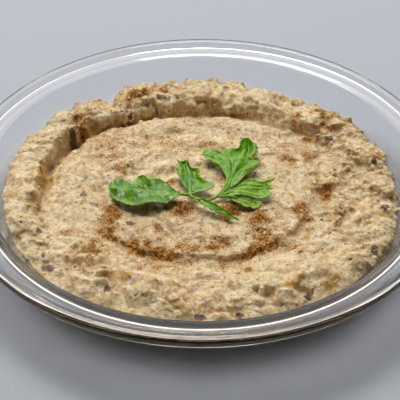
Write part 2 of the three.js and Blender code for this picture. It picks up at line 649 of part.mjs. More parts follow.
// A round stalk through a few points.
function stalkGeometry(rows) {
  const path = curveOf(rows.map(([x, y, lift]) => [x, y, leafHeight(x, y, lift)]));
  const section = new THREE.Shape().absarc(0, 0, STALK_RADIUS, 0, 2 * Math.PI);
  return new THREE.ExtrudeGeometry(section, {
    extrudePath: path, steps: 4, curveSegments: 3, bevelEnabled: false,
  });
}

const wasm = await Module();
wasm.setup();

function toManifold(geometry) {
  const bare = new THREE.BufferGeometry();
  bare.setAttribute('position', geometry.getAttribute('position'));
  bare.setIndex(geometry.index);
  const merged = mergeVertices(bare, 1e-4);
  return new wasm.Manifold(new wasm.Mesh({
    numProp: 3,
    vertProperties: new Float32Array(merged.getAttribute('position').array),
    triVerts: new Uint32Array(merged.index.array),
  }));
}

// All pieces joined into one solid, with any sealed pocket between them filled.
function joined(geometries) {
  const whole = geometries.map(toManifold).reduce((sum, piece) => sum.add(piece));
  const shells = whole.decompose().filter((shell) => shell.volume() > 0);
  const solid = shells.reduce((sum, shell) => sum.add(shell));
  const mesh = solid.getMesh();
  const geometry = new THREE.BufferGeometry();
  geometry.setAttribute('position', new THREE.BufferAttribute(mesh.vertProperties, 3));
  geometry.setIndex(new THREE.BufferAttribute(mesh.triVerts, 1));
  return geometry;
}

function sprigGeometry(leaflets, stalks) {
  return joined([...leaflets.map(leafletGeometry), ...stalks.map(stalkGeometry)]);
}

// ---- materials and assembly ----

const glass = new THREE.MeshStandardMaterial({
  color: 0xe6efee, roughness: 0.05, metalness: 0, transparent: true, opacity: 0.35,
});
const dipMaterial = new THREE.MeshStandardMaterial({ color: 0xd2b98e, roughness: 0.6, metalness: 0 });
const leafMaterial = new THREE.MeshStandardMaterial({ color: 0x5f8f28, roughness: 0.5, metalness: 0 });

function named(name, geometry, material) {
  const mesh = new THREE.Mesh(geometry, material);
  mesh.name = name;
  return mesh;
}

const model = new THREE.Group();
model.add(
  named('dish', dishGeometry(), glass),
  named('dip', dipGeometry(), dipMaterial),
  named('parsley_left', sprigGeometry(LEFT_SPRIG, LEFT_STALKS), leafMaterial),
  named('parsley_right', sprigGeometry(RIGHT_SPRIG, RIGHT_STALKS), leafMaterial),
);

export default model;
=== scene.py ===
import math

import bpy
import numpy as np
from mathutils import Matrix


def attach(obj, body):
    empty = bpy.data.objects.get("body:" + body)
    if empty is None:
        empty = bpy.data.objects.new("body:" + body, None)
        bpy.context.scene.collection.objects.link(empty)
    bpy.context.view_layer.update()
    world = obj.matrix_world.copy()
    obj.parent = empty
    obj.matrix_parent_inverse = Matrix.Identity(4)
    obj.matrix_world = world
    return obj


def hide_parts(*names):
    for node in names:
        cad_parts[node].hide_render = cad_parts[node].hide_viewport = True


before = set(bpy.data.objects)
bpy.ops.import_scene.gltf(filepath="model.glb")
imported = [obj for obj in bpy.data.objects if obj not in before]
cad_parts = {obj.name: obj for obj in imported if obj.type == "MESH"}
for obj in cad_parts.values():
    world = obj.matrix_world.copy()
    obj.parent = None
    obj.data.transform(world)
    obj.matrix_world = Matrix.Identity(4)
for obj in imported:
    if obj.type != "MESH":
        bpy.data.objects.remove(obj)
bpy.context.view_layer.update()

# A round glass dish of chunky aubergine dip, swirled with a spoon and dusted with ground spice,
# with two sprigs of flat-leaf parsley laid on the middle. Shapes are worked out in millimetres,
# with the origin in the middle of the dish's foot, and become metres when a mesh is made.

MM = 0.001

# ---- sizes of the glass dish ----
RIM_RADIUS = 125
DISH_HEIGHT = 34
LIP_TOP = 31.2
LIP_BELOW = 27.6
BEAD_WIDTH = 5.4
BEAD_FOOT = 1.4
LIP_CORNER = 109.5
FLOOR_CORNER = 92.5
FLOOR_TOP = 4.5
FLOOR_ROUNDING = 8
HEEL_CORNER = 95
FOOT_WIDTH = 8.5
FOOT_HEIGHT = 1.2
LIP_ROUNDING = 4
BEAD_FOOT_ROUNDING = 1.6
BEAD_INNER_ROUNDING = 2
BEAD_TOP_ROUNDING = 2.7
BEAD_BOTTOM_ROUNDING = 3.2
UNDER_LIP_ROUNDING = 4
HEEL_ROUNDING = 3
LEAN = (LIP_CORNER - FLOOR_CORNER) / (LIP_TOP - FLOOR_TOP)
DISH_SIDES = 288
ARC_STEP = 7.5

# ---- sizes of the dip ----
INTO_GLASS = 0.12
DIP_CELLS = 304
SIDE_BANDS = 5
MIDDLE = 20.4
DISC_EDGE = 1
LEAST_RUN = 4
BANK_FOOT = 102.5
RIDGE_INSIDE = 7
RIDGE_WIDTH = 3
CREASE_WIDTH = 1.5
FACE_POWER = 2.2
FALL_EVEN = 0.3
FALL_POWER = 2.5
STEP_UNEVEN = 0.4
ROLL_HEIGHT = 0.6
ROLL_SIZE = 14
LUMP_SHARE = 0.65
FURROW_DEPTH = 0.6
FURROW_PITCH = 17
FURROW_FROM = 8
FURROW_TO = 74
FURROW_FADE = 12
STREAK_DEPTH = 0.3
STREAK_WIDTH = 2.6
FINE_DEPTH = 0.1
FINE_SIZE = 1.5
# Painted shade in the hollows: the depth below the blurred surface that gives full darkening, and
# the reach of that blur.
PAINTED_SHADE_DEPTH = 0.5
PAINTED_SHADE_REACH = 3
ROUGH_EASE = 10
EDGE_FROM = 89
EDGE_EASE = 9
# A chunk's radius, the shift of its middle and its height, as shares of its cell or of the
# tallest, the power that joins chunks, how far noise bends them, and how deep they are sunk.
CHUNK_LEAST = 0.5
CHUNK_MORE = 0.42
CHUNK_SHIFT = 0.8
CHUNK_LOWEST = 0.4
CHUNK_JOIN = 5
CHUNK_BEND = 0.42
CHUNK_LEVEL = 0.4
# Heights and radii round the dip: [degrees from +X towards +Y, value], joined smoothly.
TROUGH_RADIUS = [
    [33, 76], [54, 71], [74, 72], [104, 71.8], [121, 73.6], [134, 79.5], [161, 82.3], [187, 84.3],
    [205, 84], [240, 72], [270, 70], [300, 72], [330, 80],
]
TROUGH_HEIGHT = [
    [10, 20], [33, 18.2], [60, 16.8], [91, 16.2], [147, 16.5], [177, 17.3], [196, 19],
    [215, 20.5], [240, 21], [330, 21],
]
BANK_FACE = [
    [10, 14], [30, 12], [54, 9], [91, 10], [134, 7], [161, 5], [187, 5], [203, 10], [216, 14],
    [241, 12], [282, 13], [299, 14], [313, 16], [326, 16], [345, 14],
]
CREST_HEIGHT = [
    [5, 23], [20, 24], [40, 24.5], [54, 23.5], [70, 24.5], [91, 25.2], [112, 25.2], [121, 23.5],
    [134, 25], [180, 24.5], [196, 24], [210, 21.5], [222, 22], [240, 24], [270, 24], [300, 24.5],
    [315, 24.5], [326, 23], [345, 23],
]
EDGE_HEIGHT = [
    [2, 15.5], [14, 17], [30, 20], [49, 18.4], [56, 15.2], [67, 17], [90, 19.3], [114, 19.5],
    [120, 16.6], [126, 19.4], [140, 21], [170, 21], [200, 19.5], [215, 17.5], [228, 20],
    [312, 20], [325, 16.5], [340, 18],
]
DISC_RADIUS = [
    [10, 56], [120, 56], [198, 50], [219, 58.5], [232, 60], [248, 56.4], [269, 54.3], [284, 57],
    [321, 55.5], [344, 55],
]
DISC_STEP = [
    [10, 0.6], [60, 0.9], [120, 0.9], [150, 1.2], [175, 1.5], [200, 1], [215, 1.2], [245, 1.9],
    [262, 1.6], [285, 2], [315, 2.5], [330, 1.6], [342, 0.6], [352, 0.5],
]
SHOULDER = [[10, 22], [33, 12], [134, 11], [161, 12], [187, 16], [215, 26]]
# A low ridge along the outer edge of the level middle, and a sharp crease at the bank's foot.
RIDGE_HEIGHT = [[20, 0.3], [38, 1.6], [60, 1.6], [95, 1.2], [115, 0.4], [160, 0.3], [190, 0]]
CREASE_DEPTH = [
    [25, 0], [38, 2], [60, 0.8], [85, 1.2], [110, 2], [128, 3], [150, 3.2], [185, 3], [205, 0],
]
# Radius beyond which the surface is rough.
ROUGH_RADIUS = [
    [20, 54], [35, 64], [55, 66], [120, 69], [150, 78], [200, 79], [220, 66], [270, 68],
    [310, 70], [330, 62], [350, 52],
]
# Single lumps, and pits where the height is negative: [degrees, radius, width, height].
LUMPS = [
    [238, 81.3, 5, 2.2], [246, 80.8, 4, 1.4], [171, 82.7, 5, 1.8], [131, 95, 8, 2],
    [144, 94.7, 7, 1.4], [116, 84, 6, 1.2], [103, 90, 7, 1.3], [92, 91, 7, 1.5], [62, 82, 7, 1.4],
    [46, 79, 6, 1.6], [42, 92, 9, 2.2], [34, 94, 7, 1.4], [38, 79, 3.5, -2.6],
    [33, 87, 3.2, -2.2], [21, 84.3, 7, 1.5], [11, 91, 7, 1.4], [358, 92, 7, 1.6],
    [348, 95, 7, 1.2], [313, 88.3, 8, 1.6], [322, 95, 7, 1.5], [303, 87, 7, 1.3],
    [295, 90, 7, 1.6], [280, 91, 7, 1.4], [271, 88, 6, 1.2], [259, 92, 7, 1.4],
    [149, 80.8, 4, -2.4], [204, 98.6, 3.5, -1.6], [218, 95.5, 4.5, -2.4], [121, 80.6, 2.2, -2.2],
    [192, 92.8, 6, 1.2], [186, 86, 5, 1], [160, 82, 6, 1.2], [230, 93.4, 6, 1.6],
    [234, 86, 6, 1.2], [32, 61.7, 5, 0.9], [233, 39.1, 3.5, 0.7], [204, 90.7, 4, 0.8],
    [212, 56, 5, 0.6], [310, 86, 14, 1.2], [296, 88, 12, 1], [345, 93, 4, -1.6], [8, 84, 4, -1.6],
    [22, 93, 3.5, -1.8],
]
# How rough the bank is round the dip, as a share of the chunks' full height, and how much of
# that is left at the glass.
BANK_ROUGH = [
    [0, 1.1], [40, 1.15], [70, 1], [130, 1], [155, 0.85], [215, 0.9], [235, 1.15], [265, 1],
    [290, 1], [318, 0.7], [340, 1.1],
]
EDGE_ROUGH = [
    [0, 0.55], [30, 0.9], [130, 0.9], [158, 0.4], [220, 0.4], [240, 0.7], [300, 0.6], [340, 0.45],
]
# How much of the finest chunks' height there is round the dip.
CRUMB_ROUGH = [
    [0, 2], [50, 1.8], [70, 1.1], [150, 1.5], [215, 1.4], [235, 0.5], [300, 0.5], [330, 1.6],
]
# Sideways wander of the swirl: [distance, size, seed for x, seed for y].
WANDER = [[2, 24, 11, 12], [0.9, 9, 13, 14], [0.7, 3.5, 18, 19]]
# Chunks pushed out of the surface, the coarsest first: [size, share of places that have one,
# height in the smooth middle, height where the surface is rough, seed].
CHUNKS = [[13, 0.85, 1.2, 4.4, 31], [6.5, 0.42, 1.1, 1.7, 51], [3, 0.5, 0.45, 0.65, 61]]
GRAINS = 11000
FLECKS = 140
SOFT_BITS = 700
# The dusting's amount in the middle, how much of it is missing on the bank, and how uneven it is.
DUSTING = 0.34
DUSTING_LOST = 0.3
DUSTING_UNEVEN = 0.18
# How far noise bends the soft spots below, and the size of its waves.
SPOT_BEND = 2.5
SPOT_BEND_SIZE = 7
# Where the ground spice fell: [degrees, radius, half length round, half width, amount].
SPICE = [
    [116, 87.5, 8, 4.5, 1.7], [104, 91.5, 6, 4, 1.6], [98, 88.5, 7, 3, 1.5], [141, 84, 6, 4, 1.1],
    [126, 79, 4, 3, 0.6], [144, 86, 4, 3, 0.6], [127, 60, 5, 3, 0.5], [162, 45, 9, 5, 0.6],
    [148, 62, 9, 6, 0.4], [163, 16, 4, 4, 0.7], [153, 72, 5, 4, 0.45], [42, 93, 7, 5, 0.9],
    [36, 74, 5, 4, 0.8], [32, 96, 7, 5, 0.6], [48, 79, 3, 3, 0.6], [21, 49, 9, 4, 0.45],
    [359, 64, 6, 5, 0.6], [77, 58, 5, 3, 0.35], [84, 39, 7, 3, 0.5], [213, 56, 10, 7, 1.1],
    [199, 49, 7, 4, 1], [223, 71, 8, 6, 0.75], [236, 58, 8, 4, 0.9], [246, 54, 16, 3.5, 1.1],
    [258, 48, 8, 4, 0.8], [252, 64, 7, 4, 0.8], [243, 22, 8, 5, 1], [227, 81, 4, 3, 0.5],
    [208, 77, 4, 4, 0.5], [221, 81, 4, 3, 0.5], [320, 40, 10, 8, 0.85], [313, 50, 8, 4, 0.9],
    [295, 24, 7, 6, 0.9], [300, 55.5, 15, 2.5, 1], [277, 45, 9, 4, 0.75], [288, 55, 8, 2, 0.7],
    [274, 62, 8, 2.5, 0.8], [289, 69, 4, 3, 0.7], [342, 51, 5, 4, 0.9], [335, 58, 4, 4, 0.7],
    [345, 89, 7, 3, 0.5], [313, 63, 4, 2, 0.5], [327, 90, 5, 3, 0.7], [202, 89, 3, 3, 0.6],
    [235, 40, 5, 4, 0.35], [27, 63, 5, 4, 0.4], [15, 88, 7, 5, 0.4], [29, 101, 8, 4, 0.45],
    [311, 23, 5, 4, 0.5], [202, 31, 5, 3, 0.3], [180, 63, 10, 4, 0.3], [20, 77, 6, 5, 0.4],
    [352, 74, 8, 5, 0.3], [265, 75, 12, 4, 0.3], [10, 60, 8, 5, 0.35], [31, 64, 6, 2.5, 0.8],
    [34, 72.4, 4, 3.5, 0.8], [24, 53, 4, 3, 0.6], [13, 72.6, 5, 3, 0.6], [358, 63.6, 6, 4, 0.6],
    [346, 72, 5, 3, 0.6], [343, 53.7, 4, 3, 0.6], [337, 60, 3, 3, 0.8], [2, 84.5, 3, 3, 0.7],
    [346, 92, 6, 3, 0.6], [40, 88, 6, 4, 0.6], [25, 85, 5, 4, 0.6], [14, 91, 3, 3, 0.6],
    [0, 58, 20, 14, 0.1], [45, 94, 6, 5, 1.1], [49, 82, 4, 3, 1], [38.5, 83, 4, 3, 1.1],
    [34, 93, 5, 4, 0.8], [26, 95, 4, 3, 0.8], [352, 40, 12, 9, 0.14], [162, 18, 3, 2.5, 0.7],
    [229, 19, 7, 4, 0.9], [31, 10.6, 3, 2.5, 0.8], [304, 19.5, 5, 4, 0.8], [309, 27, 6, 4, 0.8],
    [133, 90, 10, 5, 0.55],
]
# Charred skin and golden flesh just under the surface, in the same way.
SKIN_SPOTS = [
    [234.4, 38.1, 2.6, 1.7, 1.1], [217.5, 44.4, 3, 2, 0.6], [343, 52.7, 2.6, 1.6, 0.9],
    [268.7, 95.1, 2.8, 1.8, 1], [329, 98.5, 3, 2, 1], [350, 92.4, 2.8, 2, 0.9],
    [204, 89.7, 2.4, 1.6, 0.9], [356, 73, 1.6, 1.2, 0.9], [122.6, 76.5, 2, 1.5, 1],
    [10, 92, 2, 1.4, 0.9], [221, 96, 3.4, 2.4, 0.8], [301, 96, 2.4, 1.6, 0.7],
    [241, 90, 2.6, 2, 0.7], [148, 84, 2.2, 1.6, 0.9], [70, 84, 2, 1.4, 0.7],
    [30, 80, 2.4, 1.6, 0.7], [186, 62, 2, 1.4, 0.6], [64, 48, 2.2, 1.3, 0.6],
    [280, 98, 2.4, 1.6, 0.7],
]
FLESH_SPOTS = [
    [238.7, 80.7, 4.6, 3, 1.2], [244.7, 80.1, 3, 2.4, 0.5], [172, 82.5, 4.4, 2.8, 1.1],
    [297, 88, 5, 3, 0.9], [308, 98, 5, 2.4, 0.9], [31, 62, 6, 1.6, 1], [117, 92, 4, 3, 0.9],
    [108, 92, 5, 2.6, 0.8], [226, 66, 3, 2, 0.7], [15, 95, 3.6, 2.4, 0.8], [262, 90, 4, 2.4, 0.7],
]
# Chips of skin that stand out of the surface: [degrees, radius, length, width, height].
SKIN_CHIPS = [
    [252.5, 35.7, 2.6, 1.2, 0.8], [329.5, 73, 2.6, 1.7, 1], [336.4, 65, 1.8, 1.3, 0.9],
    [313.6, 69.7, 3.2, 1.4, 0.9], [338, 71.8, 1.6, 1.2, 0.8], [253.5, 34.4, 1.6, 1, 0.8],
]

# ---- sizes of the parsley ----
LEAF_THICKNESS = 0.34
LEAF_GAP = 0.75
STALK_RADIUS = 0.8
TOOTH_PITCH = 3
TOOTH_DEPTH = 0.85
RIB_WIDTH = 0.4
VEIN_WIDTH = 0.3
VEIN_DEPTH = 0.2
VEINS_PER_TOOTH = 0.6
BLISTER_HEIGHT = 0.4
BLISTER_SIZE = 3.6
CURL_HEIGHT = 0.5
CURL_SIZE = 6
LEAF_ROWS = 120
LEAF_COLUMNS = 40
STALK_STEPS = 25
STALK_SIDES = 12
STALK_END = 0.3
# A leaflet has a left margin, a right margin and a rib between them, each from its base on the
# stalk to its tip. A point is [x, y, lift above the lowest place that a leaf can lie]. Its pleats
# are waves across it, and its tone goes from deep glossy green to the pale matt underside.
LEFT_SPRIG = [
    {
        "base": [-10, -11, 2.2], "tip": [-48.5, -4, 1.2],
        "left": [[-14, -14.5, 2.6], [-19, -18, 3], [-26.5, -20, 3.2], [-33.5, -20, 3],
            [-40.5, -17, 2.4], [-45.5, -12, 1.8]],
        "right": [[-14, -9, 3], [-19.5, -3, 3.6], [-23, 0.5, 4], [-26.5, 1.5, 4], [-30, 0, 3.8],
            [-33.5, -2, 3.4], [-38.5, 0, 3.2], [-43.5, 1.5, 2.6], [-46.5, -0.5, 1.8]],
        "rib": [[-19, -10.5, 3.4], [-29.5, -10, 3.8], [-39.5, -7.5, 3.2]],
        "tone": 0.0, "pleats": 0.8, "pleat": 0.45,
    },
    {
        "base": [-26.5, -10, 3.4], "tip": [-30.5, -0.5, 7],
        "left": [[-30, -9, 4.6], [-33, -6.5, 5.6], [-34, -3.5, 6.4], [-33, -1.5, 6.8]],
        "right": [[-25, -7.5, 4.6], [-26, -4.5, 5.6], [-27.5, -2.5, 6.4], [-29, -0.5, 6.8]],
        "rib": [[-29, -5.5, 5.2]],
        "tone": 0.2, "pleats": 1.5, "pleat": 0.3,
    },
    {
        "base": [-6.5, -8.5, 2.6], "tip": [-8, 16, 4.8],
        "left": [[-9.5, -4, 3], [-11.5, 1.5, 3.2], [-13.5, 9, 3.4], [-12, 12, 3.8],
            [-13, 15.5, 4.6], [-10.5, 14, 4.4]],
        "right": [[-1.5, -9, 3], [2, -8.5, 3.2], [6, -4.5, 3.6], [2.5, -1, 3.8], [-1.5, 3, 4],
            [-1.5, 8, 4.4], [-3, 9, 4.6], [-5, 8.5, 4.4], [-7, 12.5, 4.6]],
        "rib": [[-7, -0.5, 3], [-7.5, 8, 3.4]],
        "tone": 0.15, "pleats": 1.2, "pleat": 0.5,
    },
    {
        "base": [-6.5, -11.5, 2.6], "tip": [18.5, -29, 0],
        "left": [[-3, -14.5, 3.4], [1, -17, 3.6], [6.5, -20, 3], [12.5, -23.5, 1.8],
            [16.5, -27, 0.8]],
        "right": [[-5, -16, 3], [-1, -20, 3], [3.5, -23, 2.6], [9, -24.5, 1.6], [13.5, -27, 0.6]],
        "rib": [[1, -18, 2.8], [9.5, -22, 1.6]],
        "tone": 0.25, "pleats": 1, "pleat": 0.2,
    },
]
RIGHT_SPRIG = [
    {
        "base": [13, 1, 3], "tip": [0, 22, 3.6],
        "left": [[11.5, 6, 3.2], [9, 11.5, 3.4], [6, 15.5, 3.4], [2, 18.5, 3.4]],
        "right": [[15.5, 8, 3.2], [16, 15, 3.8], [13.5, 20.5, 4.4], [9, 23.5, 4.2],
            [4.5, 26, 3.8], [1, 25.5, 3.6]],
        "rib": [[12, 11.5, 3], [7, 20, 3.2]],
        "tone": 0.45, "pleats": 0.9, "pleat": 0.3,
    },
    {
        "base": [12, -6.5, 2.6], "tip": [24.5, 34, 5.6],
        "left": [[13, 1, 3], [14.5, 9, 3.4], [13.5, 17, 3.8], [11.5, 24.5, 4.2], [11.5, 28, 4.6],
            [14.5, 27.5, 4.4], [19, 27.5, 4.2], [20.5, 31.5, 5]],
        "right": [[17, -3, 3], [21, 2.5, 3.2], [24, 7, 3.4], [28.5, 11.5, 3.6], [29.5, 16, 3.8],
            [26, 18.5, 3.8], [29, 23.5, 4.4], [28.5, 30, 5], [26, 31.5, 5.2]],
        "rib": [[15, 5, 2.8], [19, 18, 3.2], [22.5, 27.5, 4]],
        "tone": 0.3, "pleats": 1.3, "pleat": 0.7,
    },
    {
        "base": [11.5, -9.5, 2.4], "tip": [35.5, -5.5, 4],
        "left": [[16.5, -5.5, 3], [21, -2, 3.6], [26, 0, 4], [30.5, -1.5, 4.2], [37, 0, 4.4],
            [33.5, -3, 4]],
        "right": [[15.5, -12, 2.4], [21.5, -12, 2.8], [27, -13, 3], [32.5, -13, 3],
            [35, -10.5, 3.2], [33, -9, 3.4], [36, -8, 3.6], [33.5, -6.5, 3.8]],
        "rib": [[19, -6.5, 2.6], [27.5, -6, 3.2]],
        "tone": 0.75, "pleats": 1.8, "pleat": 0.3,
    },
    {
        "base": [12.5, -11.5, 2], "tip": [29.5, -16.5, 0.8],
        "left": [[17.5, -11.5, 2], [22.5, -12, 2], [27, -13.5, 1.8], [30, -15, 1.2]],
        "right": [[14.5, -13.5, 1.2], [18, -16.5, 1], [22.5, -18.5, 0.8], [23.5, -17.5, 0.9],
            [25.5, -19, 0.7], [28, -18.5, 0.6]],
        "rib": [[19, -14, 1.4], [25, -15.5, 1.2]],
        "tone": 1, "pleats": 1.2, "pleat": 0.2,
    },
]
LEFT_STALKS = [
    [[-12, -11.3, 2.5], [-6.5, -11.5, 2.8], [-2.5, -9.5, 3]],
    [[-6.5, -11.5, 2.8], [-6.5, -7, 2.9], [-7, -2.5, 3.1]],
    [[-7, -11, 2.8], [-5, -14.5, 3], [-1.5, -17, 3.1]],
]
RIGHT_STALKS = [
    [[3, -13.5, 0.4], [7, -11.5, 1.4], [9.5, -8.5, 2.2], [11.5, -4.5, 2.8], [13, 2, 3.1]],
    [[8, -10.5, 1.8], [12, -6.5, 2.6], [14.5, 1.5, 2.9]],
    [[7.5, -11, 1.6], [11, -10, 2.4], [15.5, -9, 2.7]],
    [[8, -11.3, 1.6], [12.5, -11.5, 2], [17.5, -13, 1.6]],
]


# ---- meshes ----

def add_piece(name, points, faces, finish, body="root", numbers=None, smooth=True):
    """A mesh object from points in millimetres and faces. numbers holds a value for each point
    under a name that the finish reads."""
    mesh = bpy.data.meshes.new(name)
    mesh.from_pydata((np.asarray(points) * MM).tolist(), [], [list(f) for f in faces])
    for key, values in (numbers or {}).items():
        layer = mesh.attributes.new(key, "FLOAT", "POINT")
        layer.data.foreach_set("value", np.asarray(values, dtype=np.float32))
    mesh.shade_smooth() if smooth else mesh.shade_flat()
    mesh.materials.append(finish)
    piece = bpy.data.objects.new(name, mesh)
    bpy.context.scene.collection.objects.link(piece)
    if body:
        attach(piece, body)
    return piece


def grid_faces(rows, cols, wrap=False):
    """Quads of a grid in which point (i, j) has the number i * cols + j. With wrap, the last
    column joins the first."""
    i = np.arange(rows - 1)[:, None]
    j = np.arange(cols if wrap else cols - 1)[None, :]
    k = (j + 1) % cols
    quads = np.stack([i * cols + j, i * cols + k, (i + 1) * cols + k, (i + 1) * cols + j], -1)
    return quads.reshape(-1, 4)


# ---- noise ----

def smooth(t):
    """Rises from 0 to 1 with level ends: 3 t squared less 2 t cubed."""
    t = np.clip(t, 0, 1)
    return t * t * (3 - 2 * t)


def around(degrees, table):
    """Value at each angle from a table of [degrees, value] that goes once round, eased between
    neighbouring rows by smooth."""
    angle, value = np.array(table, dtype=float).T
    d = degrees % 360
    low = (np.searchsorted(angle, d, side="right") - 1) % len(angle)
    high = (low + 1) % len(angle)
    share = ((d - angle[low]) % 360) / ((angle[high] - angle[low]) % 360)
    return value[low] + (value[high] - value[low]) * smooth(share)


def draw(seed, i, j, k=0):
    """A number from 0 to 1 for each cell: the cell's numbers and the seed are multiplied by
    large odd numbers, added, shifted and mixed in 32 bits."""
    h = i.astype(np.uint32) * np.uint32(374761393) + j.astype(np.uint32) * np.uint32(668265263)
    h = h + np.asarray(k).astype(np.uint32) * np.uint32(2246822519)
    h = h + np.uint32(seed * 1442695041 & 0xFFFFFFFF)
    h = (h ^ (h >> np.uint32(13))) * np.uint32(1274126177)
    return (h ^ (h >> np.uint32(16))) / 4294967296.0


def noise(x, y, size, seed):
    """Smooth noise from -1 to 1: values drawn at the corners of square cells, blended across
    each cell by a fifth-power ease."""
    u, v = x / size + 1000, y / size + 1000
    i, j = np.floor(u).astype(np.int64), np.floor(v).astype(np.int64)
    a, b = u - i, v - j
    a = a * a * a * (a * (a * 6 - 15) + 10)
    b = b * b * b * (b * (b * 6 - 15) + 10)
    low = draw(seed, i, j) * (1 - a) + draw(seed, i + 1, j) * a
    high = draw(seed, i, j + 1) * (1 - a) + draw(seed, i + 1, j + 1) * a
    return 2 * (low * (1 - b) + high * b) - 1


def chunks(points, size, seed, share):
    """Rounded lumps in space from 0 to 1, at most one to a cubic cell: 1 - d squared, where d is
    the distance from its middle in its radii. Where lumps meet, a root of the sum of their powers
    joins them softly."""
    p = points / size + 1000
    cell = np.floor(p).astype(np.int64)
    total = np.zeros(p.shape[:-1])
    for step in np.ndindex(3, 3, 3):
        c = [cell[..., n] + step[n] - 1 for n in range(3)]
        off = [p[..., n] - c[n] - 0.5 - CHUNK_SHIFT * (draw(seed + n, *c) - 0.5)
               for n in range(3)]
        radius = CHUNK_LEAST + CHUNK_MORE * draw(seed + 3, *c)
        pick = draw(seed + 4, *c)
        tall = np.where(pick < share, CHUNK_LOWEST + (1 - CHUNK_LOWEST) * pick / share, 0)
        rest = np.clip(1 - (off[0] ** 2 + off[1] ** 2 + off[2] ** 2) / radius ** 2, 0, None)
        total += (tall * rest) ** CHUNK_JOIN
    return total ** (1 / CHUNK_JOIN)


# ---- the dip's surface ----

def polar(degrees, radius):
    """The x and y of a place at an angle and a radius."""
    a = np.radians(degrees)
    return radius * np.cos(a), radius * np.sin(a)


def angle_of(x, y):
    """The angle of a place in degrees."""
    return np.degrees(np.arctan2(y, x))


def dip_form(x, y):
    """Height of the surface without its chunks: a level middle with a low ridge round it, the
    inner disc's step, the slope into the trough, the crease, the bank's inner slope, which is
    steepest at its foot, its rounded outer fall, the spoon's spiral furrow and the single lumps."""
    wx, wy = x, y
    for distance, size, seed_x, seed_y in WANDER:
        wx = wx + distance * noise(x, y, size, seed_x)
        wy = wy + distance * noise(x, y, size, seed_y)
    r = np.hypot(wx, wy)
    degrees = angle_of(wx, wy)
    trough = around(degrees, TROUGH_RADIUS)
    trough_height = around(degrees, TROUGH_HEIGHT)
    crest = trough + around(degrees, BANK_FACE)
    crest_height = around(degrees, CREST_HEIGHT)
    disc = around(degrees, DISC_RADIUS)
    edge = disc + DISC_EDGE
    step = around(degrees, DISC_STEP) * (0.9 + STEP_UNEVEN * noise(x, y, 13, 15))
    slope_top = np.maximum(trough - around(degrees, SHOULDER), edge)
    shoulder = np.minimum(slope_top, trough - LEAST_RUN)
    slope_end = np.maximum(trough, edge + LEAST_RUN)
    h = MIDDLE + (trough_height - MIDDLE) * smooth((r - shoulder) / (trough - shoulder))
    h = h - step * smooth((r - disc) / DISC_EDGE) * (1 - smooth((r - edge) / (slope_end - edge)))
    ridge = np.exp(-((r - trough + RIDGE_INSIDE) / RIDGE_WIDTH) ** 2)
    crease = np.exp(-((r - trough - CREASE_WIDTH / 3) / CREASE_WIDTH) ** 2)
    h = h + around(degrees, RIDGE_HEIGHT) * ridge - around(degrees, CREASE_DEPTH) * crease
    climb = np.clip((r - trough) / (crest - trough), 0, 1)
    h = h + (crest_height - trough_height) * (1 - (1 - climb) ** FACE_POWER)
    out = np.clip((r - crest) / (BANK_FOOT - crest), 0, 1)
    fall = FALL_EVEN * smooth(out) + (1 - FALL_EVEN) * out ** FALL_POWER
    return h + (around(degrees, EDGE_HEIGHT) - crest_height) * fall + furrow(x, y) + lumps(x, y)


def furrow(x, y):
    """A spiral wave that moves out by its pitch in each turn, faded at both ends."""
    r = np.hypot(x, y)
    turns = r / FURROW_PITCH - np.arctan2(y, x) / (2 * np.pi)
    fade = smooth((r - FURROW_FROM) / FURROW_FADE) * smooth((FURROW_TO - r) / FURROW_FADE)
    return FURROW_DEPTH * np.sin(2 * np.pi * turns + 1.5 * noise(x, y, 30, 16)) * fade


def lumps(x, y):
    """Bell-shaped single lumps and pits, over a broad unevenness."""
    h = ROLL_HEIGHT * noise(x, y, ROLL_SIZE, 21)
    for degrees, radius, width, height in LUMPS:
        px, py = polar(degrees, radius)
        h = h + height * np.exp(-((x - px) ** 2 + (y - py) ** 2) / (LUMP_SHARE * width) ** 2)
    return h


def roughness(x, y):
    """0 on the smooth middle and 1 on the rough bank."""
    start = around(angle_of(x, y), ROUGH_RADIUS)
    return smooth((np.hypot(x, y) + 3 * noise(x, y, 8, 17) - start) / ROUGH_EASE)


def bank_strength(x, y):
    """Share of their full height that the bank's chunks have, which falls towards the glass."""
    degrees = angle_of(x, y)
    fade = smooth((np.hypot(x, y) - EDGE_FROM) / EDGE_EASE)
    return around(degrees, BANK_ROUGH) * (1 - (1 - around(degrees, EDGE_ROUGH)) * fade)


def side_radius(z):
    """Radius of the dip's side at a height: just inside the glass of its sloping wall."""
    return FLOOR_CORNER + (z - FLOOR_TOP) * LEAN + INTO_GLASS * math.hypot(1, LEAN)


def side_height(r):
    """Height at which the glass is met at a radius: side_radius turned round."""
    return (r - side_radius(0)) / LEAN


def edge_radius(angle):
    """Radius at which the form meets the glass at each angle, by halving."""
    low = np.full_like(angle, side_radius(FLOOR_TOP + FLOOR_ROUNDING))
    high = np.full_like(angle, side_radius(LIP_TOP))
    for _ in range(26):
        r = (low + high) / 2
        above = dip_form(r * np.cos(angle), r * np.sin(angle)) > side_height(r)
        low, high = np.where(above, r, low), np.where(above, high, r)
    return low


def spots(x, y, table):
    """The sum of soft spots, each with a length round the dish and a width across, at places
    bent by noise."""
    wx = x + SPOT_BEND * noise(x, y, SPOT_BEND_SIZE, 83)
    wy = y + SPOT_BEND * noise(x, y, SPOT_BEND_SIZE, 84)
    total = np.zeros_like(x)
    for degrees, radius, length, width, amount in table:
        c, s = polar(degrees, 1)
        out, along = wx * c + wy * s - radius, wy * c - wx * s
        total = total + amount * np.exp(-(along / length) ** 2 - (out / width) ** 2)
    return total


def spice_amount(x, y):
    """How much spice lies at each place: its soft patches over a dusting that thins towards the
    bank, broken up at 9 and 3 mm."""
    dusting = DUSTING - DUSTING_LOST * roughness(x, y) + DUSTING_UNEVEN * noise(x, y, 20, 81)
    uneven = 0.8 + 0.45 * noise(x, y, 9, 82) + 0.45 * noise(x, y, 3, 85)
    return (dusting + spots(x, y, SPICE)) * uneven


